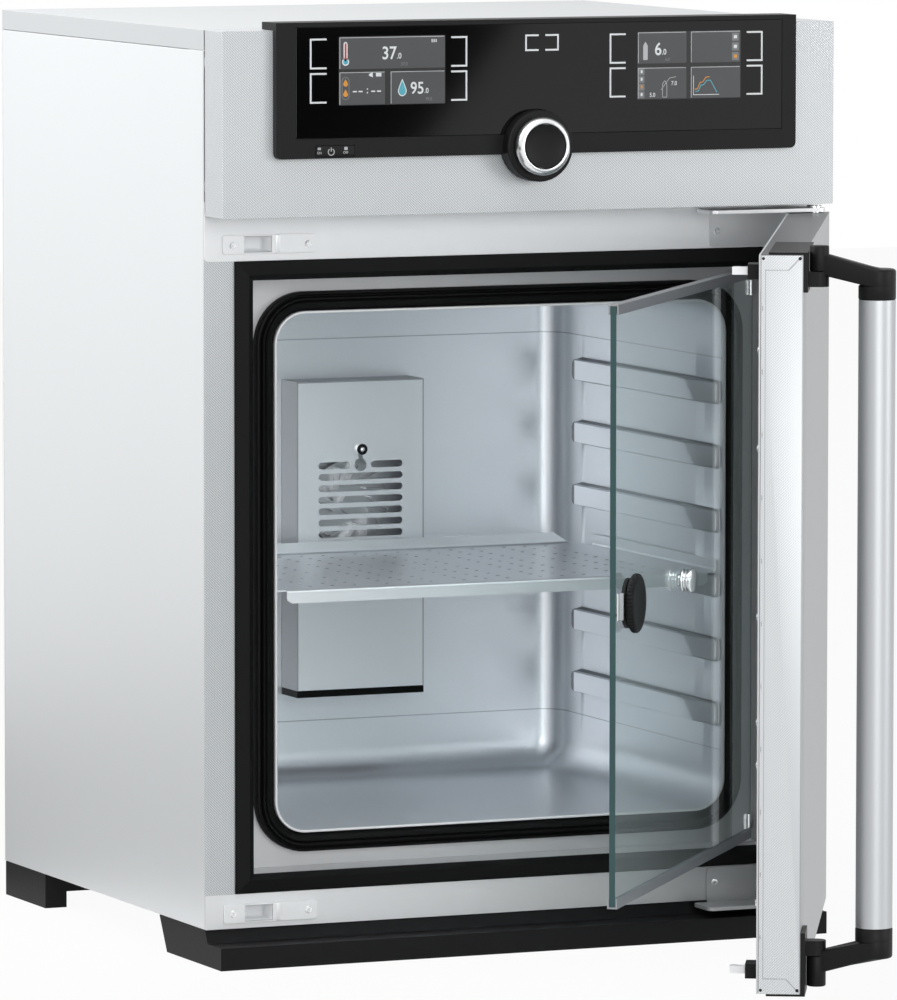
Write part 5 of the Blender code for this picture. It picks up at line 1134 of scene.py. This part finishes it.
def arm_shape(tube_end, direction):
    """Flat arm from the tube back to its pivot: in plan half a circle about the tube's axis
    with straight sides that draw in towards the pivot, and in height two planes that rise
    with the distance from the tube."""
    reach = HANDLE_PIVOT_Y - 0.0010 - HANDLE_TUBE_Y
    angle = np.linspace(0, -math.pi, 25)
    front = ARM_R * np.stack([np.cos(angle), np.sin(angle)], axis=1)
    run = np.linspace(0.08, 1, 8)
    half = ARM_R + (ARM_NECK - ARM_R) * run
    plan = np.concatenate([front, np.stack([-half, reach * run], axis=1),
                           np.stack([half, reach * run], axis=1)[::-1]])[::-1]
    rings = []
    for share, inset in ((0.0, 0.0016), (0.02, 0.0008), (0.06, 0.0002), (0.11, 0.0), (0.86, 0.0),
                         (0.92, 0.0003), (0.97, 0.0010), (1.0, 0.0022)):
        ring = grown(plan, -inset)
        far = np.clip(ring[:, 1] / reach, 0, 1)
        low = ARM_LOW + ARM_LOW_RISE * far
        top = ARM_TOP + ARM_TOP_RISE * far
        height = tube_end + direction * (low + (top - low) * share)
        rings.append(to_main_door(np.stack([HANDLE_X + ring[:, 0], HANDLE_TUBE_Y + ring[:, 1],
                                            height], axis=-1)))
    return grid(np.array(rings), first=True, last=True)


def sleeve_shape(tube_end, direction):
    """The arm's round foot over the end of the tube."""
    profile = [(ARM_R - 0.0006, 0.0003), (ARM_R, 0.0009), (ARM_R, 0.0108),
               (ARM_R - 0.001, 0.0116)]
    return turned([(r, tube_end + direction * h) for r, h in profile],
                  (HANDLE_X, HANDLE_TUBE_Y), handle_plane, 48)


def boss_shape(start, height, direction):
    """The arm's pivot boss, with a soft rim at both ends."""
    rim = [(0.0010, 0.0), (0.0003, 0.0004), (0.0, 0.0010)]
    profile = [(BOSS_R - inset, start + direction * depth) for inset, depth in rim]
    profile += [(BOSS_R - inset, start + direction * (height - depth))
                for inset, depth in rim[::-1]]
    return turned(profile, (HANDLE_X, HANDLE_PIVOT_Y), handle_plane, 40)


def build_arms():
    """The handle's two elbows: arm, foot and pivot boss."""
    for name, end, start, height, direction in (
            ("upper", TUBE_TOP, 0.6030 + GAP, 0.0203, 1),
            ("lower", TUBE_LOW, 0.0581 - GAP, 0.0245, -1)):
        shapes = [arm_shape(end, direction), sleeve_shape(end, direction),
                  boss_shape(start, height, direction)]
        piece(name + "_elbow", shapes, [MOULDED], "handle",
              [name + "_handle_arm"], sharp=45)


def build_door_trim():
    """Screws on the door's inner face beside its free edge, and on that edge the seams of its
    folds, and black patches of painted shade for the holes at its corners and a row of slots."""
    dome = [(0.0, 0.0014), (0.0014, 0.0012), (0.0026, 0.0007), (0.0032, 0.0)]
    piece("panel_screws", [turned(dome, (0.2735, z), door_back, 24)
                           for z in (0.542, 0.464, 0.330, 0.246, 0.212, 0.102)], [BRIGHT],
          "main_door", sharp=60)

    sunk, deep, flush, proud, edge = -0.0002, -0.0004, 0.00005, 0.00006, 0.00002
    seams = [slab(rounded(0.0006, 0.5646, 0.0002, (-0.0108, 0.3235), 1), sunk, flush, edge,
                  door_edge, 1)]
    for z, side in ((0.0300, 1), (0.6170, -1)):
        corner = z + side * 0.0117
        run = np.array([(-0.0400, z), (-0.0290, corner), (-0.0110, corner)])
        half = np.array([(-0.0003, 0.0003), (-0.0003, 0.0003), (0.0, 0.0004)]) * (1, side)
        outline = np.concatenate([run + half, (run - half)[::-1]])
        seams.append(slab(outline, sunk, flush, edge / 2, door_edge, 1))
    # Painted shade: black patches stand for the holes at the corners and the row of slots.
    seams += [slab(circle(radius, (u, z), 20), deep, proud, edge, door_edge, 1, 1)
              for z in (0.0325, 0.6145) for radius, u in ((0.0014, -0.0380), (0.0012, -0.0090))]
    seams += [slab(rounded(0.0009, 0.0040, 0.0004, (-0.0085, z), 2), deep, proud, edge,
                   door_edge, 1) for z in np.linspace(0.075, 0.575, 11)]
    piece("edge_seams", seams, [SEAM, MOULDED], "main_door", sharp=40)


def pane_plane(u, v, h):
    """The closed pane's front face, h standing forward of it."""
    return to_glass_door(on_front(u, v, h - GLASS_FRONT))


def build_pane():
    """Glass sheet with two holes; its rim shows the depth of the glass."""
    low, top, reach = 0.0807, 0.5669, 0.012
    us = np.array([-GLASS_HALF, LATCH[0] - reach, LATCH[0] + reach, PORT[0] - reach,
                   PORT[0] + reach, GLASS_HALF])
    vs = np.array([low, 0.3128, 0.3368, top])
    flat, faces = pierced(us, vs, {(1, 1): (*LATCH, 0.0045), (3, 1): (*PORT, 0.0053)})
    pane = piece("clear_pane", [(lifted(flat, -GLASS_T / 2, pane_plane), faces, 0)],
                 [PANE, PANE_EDGE], "glass_door", ["glass_pane"], sharp=None,
                 closed=False)
    walled(pane, GLASS_T, 0.0, 1)


def build_latch():
    """Knurled knob on a round plate."""
    plate = [(0.0024, 0.0003), (0.0024, 0.0035), (0.0190, 0.0035), (0.0201, 0.0032),
             (0.0205, 0.0024), (0.0205, 0.0003), (0.0024, 0.0003)]
    piece("latch_plate", [turned(plate, LATCH, pane_plane, 72)], [MOULDED], "glass_door",
          ["latch_base"], sharp=40)
    knob = [(0.0, 0.0046), (0.0100, 0.0048), (0.0170, 0.0054), (0.0206, 0.0056), (0.0228, 0.0053),
            (0.0238, 0.0047), (0.0242, 0.0038), (0.0242, 0.0014), (0.0238, 0.0006),
            (0.0228, 0.0), (0.0060, 0.0), (0.0060, -0.0016), (0.0019, -0.0016),
            (0.0019, -0.0078), (0.0, -0.0078)]
    piece("latch_grip", [turned(raised(knob, 0.0054), LATCH, pane_plane, 288,
                                ripple=(range(5, 9), 0.0008, 48))],
          [BASE_BLACK], "glass_latch", ["latch_knob"], sharp=45)


def build_stopper():
    """Turned stopper: a domed head, two grooves and a neck."""
    r = 0.0104
    profile = [(0.0, 0.0118), (0.0060, 0.0117), (0.0086, 0.0112), (0.0099, 0.0104), (r, 0.0094),
               (r, 0.0080), (0.0100, 0.0074), (0.0078, 0.0070), (0.0076, 0.0062), (0.0096, 0.0056),
               (0.0099, 0.0050), (0.0096, 0.0044), (0.0078, 0.0038), (0.0078, 0.0032),
               (0.0096, 0.0026), (0.0098, 0.0018), (0.0090, 0.0012), (0.0060, 0.0008),
               (0.0060, 0.0003), (0.0050, 0.0003), (0.0050, -0.0058), (0.0, -0.0058)]
    piece("turned_stopper", [turned(profile, PORT, pane_plane, 64)], [BRIGHT], "port_stopper",
          ["port_plug"], sharp=40)


# Frame fittings

SHEET_PROUD = 0.0015


def strike_face(u, v, h):
    """The front sheets' face, h standing forward of it."""
    return on_front(u, v, h + SHEET_PROUD)


def build_strikes():
    """Behind each lock plate's opening a shallow pocket, and beside it a raised bar."""
    pockets, bars = [], []
    for z in (UPPER_HOOK_Z, LOWER_HOOK_Z):
        rings = [lifted(rounded(0.0244 - 2 * shrink, 0.0124 - 2 * shrink, 0.0006, (HOOK_X, z), 3),
                        height, strike_face)
                 for shrink, height in ((0.0, 0.0016), (0.0, -0.0190), (0.0012, -0.0204))]
        pockets.append(grid(np.array(rings), last=True))
        bars.append(slab(rounded(0.0045, 0.0150, 0.0010, (-0.2148, z), 3), 0.0020, 0.0030, 0.0004,
                         strike_face, 2))
    pocket = piece("lock_pockets", pockets, [POCKET], "cabinet", closed=False)
    walled(pocket, 0.0002, 1.0)
    piece("lock_bars", bars, [SMOOTH], "cabinet", sharp=40)


def screw_head(centre, radius, lift):
    """A countersunk head with a shallow round recess in it."""
    profile = [(0.0, -0.0007), (radius * 0.42, -0.0007), (radius * 0.46, 0.0),
               (radius * 0.90, 0.0001), (radius, -0.0002), (radius, -0.0008), (0.0, -0.0008)]
    return turned(raised(profile, lift), centre, strike_face, 24)


def build_screws():
    """Heads on the lock plates and hinge brackets, and on the fan hood a dome over a washer."""
    heads = [screw_head((x, z), 0.0032, 0.0024) for z in (0.6008, 0.0425)
             for x in (-0.2552, -0.1875)]
    heads += [screw_head((0.1888, z), 0.0030, 0.0016) for z in (0.6021, 0.0450)]
    washer = [(0.0, 0.0006), (0.0040, 0.0006), (0.0048, 0.0003), (0.0048, -0.0002), (0.0, -0.0002)]
    dome = [(0.0, 0.0016), (0.0011, 0.0014), (0.0019, 0.0010), (0.0024, 0.0004), (0.0, 0.0004)]
    for name, profile, mat, slot in (("screw_washer", washer, MOULDED, "black_plastic"),
                                     ("screw_dome", dome, BRIGHT, "bright_steel")):
        piece(name, [turned(raised(profile, -HOOD_SCREW_Y), (0.0, HOOD_SCREW_Z), on_front, 32)],
              [mat], "cabinet", sharp=40)
    piece("plate_screws", heads, [BRIGHT], "cabinet", sharp=40)


# Solids that keep their own shapes

def dress(name, finish, edge):
    """A finish on a solid, and where it has an edge's width a rolled edge."""
    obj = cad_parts[name]
    obj.data.materials.clear()
    obj.data.materials.append(finish)
    if edge:
        weld = obj.modifiers.new("weld", "WELD")
        weld.merge_threshold = 10 * SAME_POINT
        roll = obj.modifiers.new("roll", "BEVEL")
        roll.width = edge
        roll.segments = 2
        roll.limit_method = "ANGLE"
        roll.angle_limit = math.radians(40)
        roll.harden_normals = True
        roll.use_clamp_overlap = True


def dress_solids():
    """The finish and the rolled edge of each solid that shows as it is."""
    for finish, edge, names in (
            (CASING, 0.0004, "outer_casing"), (CASING, 0.0003, "rear_panel"),
            (TOP_SHEET, 0.0006, "top_cover"), (RECESS, 0.0003, "front_frame"),
            (TEXTURED, 0.0006, "control_housing"), (DOOR_TEXTURED, 0.0006, "door_outer_shell"),
            (DOOR_FACE, 0.0003, "door_inner_panel"), (LOW_SHEET, 0.0003, "lower_fascia"),
            (LOW_SHEET, 0.0004, "lower_hinge_bracket"),
            (BRIGHT_SHEET, 0.0004, "upper_hinge_bracket"),
            (SMOOTH, 0.0003, "upper_fascia upper_strike lower_strike"),
            (SMOOTH, 0.0, "fan_motor"), (ALUMINIUM, 0.0, "fan_impeller"),
            (HOOD, 0.0003, "fan_cover"), (WHITE, 0.0003, "gas_sensor"),
            (WHITE, 0.0004, "latch_striker"), (CAST, 0.0005, "upper_hook lower_hook"),
            (BASE_BLACK, 0.0006, "front_plinth rear_foot_bar"),
            (CHANNEL, 0.0003, "upper_channel lower_channel"),
            (MOULDED, 0.0, "upper_bush lower_bush"), (MOULDED, 0.0004, "mains_inlet"),
            (MOULDED, 0.0005, "display_bezel upper_hook_housing lower_hook_housing"),
            (MOULDED, 0.0008, "upper_handle_bracket lower_handle_bracket"),
            (BRIGHT, 0.0, "encoder_shaft upper_glass_hinge lower_glass_hinge"),
            (BRIGHT, 0.0002, "gas_inlet latch_clip"),
            (BRIGHT, 0.0003,
             "cover_screw upper_hinge_pin lower_hinge_pin upper_clamp lower_clamp")):
        for name in names.split():
            dress(name, finish, edge)


# Camera, floor and light

def build_camera():
    """The camera solved from the photograph: its place, heading, tilt and roll."""
    data = bpy.data.cameras.new("camera")
    data.lens = 316.65
    data.sensor_width = 36.0
    data.clip_end = 60.0
    camera = placed("camera", data)
    heading, tilt, roll = [Matrix.Rotation(math.radians(angle), 4, axis) for angle, axis in (
        (-23.607, "Z"), (90 - 5.395, "X"), (0.0416, "Z"))]
    camera.matrix_world = (Matrix.Translation((-3.0030, -6.7377, 1.0763))
                           @ heading @ tilt @ roll)
    bpy.context.scene.camera = camera


def lamp(name, place, aim, width, watts, height=None):
    """A soft rectangular lamp turned towards a point."""
    data = bpy.data.lights.new(name, "AREA")
    data.shape = "RECTANGLE"
    data.size = width
    data.size_y = height or width
    data.energy = watts
    obj = placed(name, data)
    obj.location = place
    obj.rotation_euler = (Vector(aim) - Vector(place)).to_track_quat("-Z", "Y").to_euler()


def stage_sheet(name, corners, finish):
    """A flat sheet of the studio, which isn't part of the object."""
    mesh = bpy.data.meshes.new(name)
    mesh.from_pydata(corners, [], [(0, 1, 2, 3)])
    mesh.materials.append(finish)
    placed(name, mesh)


def bright_rays(tree):
    """One for rays from the camera, from glossy surfaces and through glass."""
    path = node(tree, "LightPath").outputs
    return most(tree, [path["Is Camera Ray"], path["Is Transmission Ray"],
                       path["Is Glossy Ray"]])


def pale_floor():
    """White to the camera and in mirror-like surfaces, but the object's shadow stays."""
    mat, tree = new_material("pale_floor")
    tree.nodes.clear()
    node(tree, "OutputMaterial")
    blended(tree, math_node(tree, "MULTIPLY", bright_rays(tree), 0.95),
            node(tree, "BsdfDiffuse", {"Color": (0.5, 0.5, 0.5, 1)}),
            node(tree, "Emission", {"Strength": 1.0}))
    return mat


def build_world():
    """Soft light on the object, and white to the camera, in glossy surfaces and in glass."""
    world = bpy.data.worlds.new("studio")
    bpy.context.scene.world = world
    world.use_nodes = True
    tree = world.node_tree
    tree.nodes.clear()
    node(tree, "OutputWorld")
    blended(tree, bright_rays(tree),
            node(tree, "Background", {"Color": (0.93, 0.96, 1.0, 1), "Strength": 0.30}),
            node(tree, "Background", {"Color": (1, 1, 1, 1), "Strength": 1.0}))


def stage_card(name, shade, level):
    """A dark card that the object mirrors as it is, and the camera sees as pale ground."""
    mat = finish(name, (shade, shade, shade), 0.9, specular=0.1)
    tree = mat.node_tree
    blended(tree, node(tree, "LightPath").outputs["Is Camera Ray"], tree.nodes["Principled BSDF"],
            node(tree, "Emission", {"Color": (level, level, level, 1)}))
    return mat


def build_stage():
    """Floor, world, three cards that shade the metal's reflections, and four lamps."""
    build_world()
    far, under, wall = 8, -0.0005, 0.62
    card = stage_card("dark_card", 0.02, 1.0)
    for name, corners, mat in (
            ("floor", [(-far, -far, under), (far, -far, under), (far, far, under),
                       (-far, far, under)], pale_floor()),
            ("floor_pad", [(-2.4, -0.4, 0.0), (-0.66, -0.4, 0.0), (0.06, 1.55, 0.0),
                           (-1.9, 2.1, 0.0)], stage_card("floor_pad", 0.16, 0.975)),
            ("left_card", [(-3.0, -1.2, 0.0), (-3.0, 2.0, 0.0), (-3.0, 2.0, wall),
                           (-3.0, -1.2, wall)], card),
            ("front_card", [(0.70, -2.73, 0.40), (1.04, -2.73, 0.50), (1.20, -2.73, 0.70),
                            (0.70, -2.73, 0.70)], card)):
        stage_sheet(name, corners, mat)
    lamp("front", (-0.8, -4.7, 1.30), (0, 0.2, 0.36), 2.4, 72)
    lamp("overhead", (-0.6, -0.7, 2.9), (0, 0.1, 0.4), 2.0, 20)
    lamp("side", (-1.7, 0.5, 1.9), (-0.28, 0.25, 0.62), 1.2, 46)
    lamp("right", (2.4, -2.4, 1.0), (0.1, -0.3, 0.35), 0.8, 22, height=1.7)


build_liner()
build_seals()
build_frame_strips()
build_hood_edge()
build_shelf()
build_cover()
build_screens()
build_marks()
build_knob()
build_power_key()
build_tube()
build_arms()
build_door_trim()
build_pane()
build_latch()
build_stopper()
build_strikes()
build_screws()
dress_solids()
build_camera()
build_stage()

bpy.context.scene.view_settings.view_transform = "Standard"

bpy.context.view_layer.update()
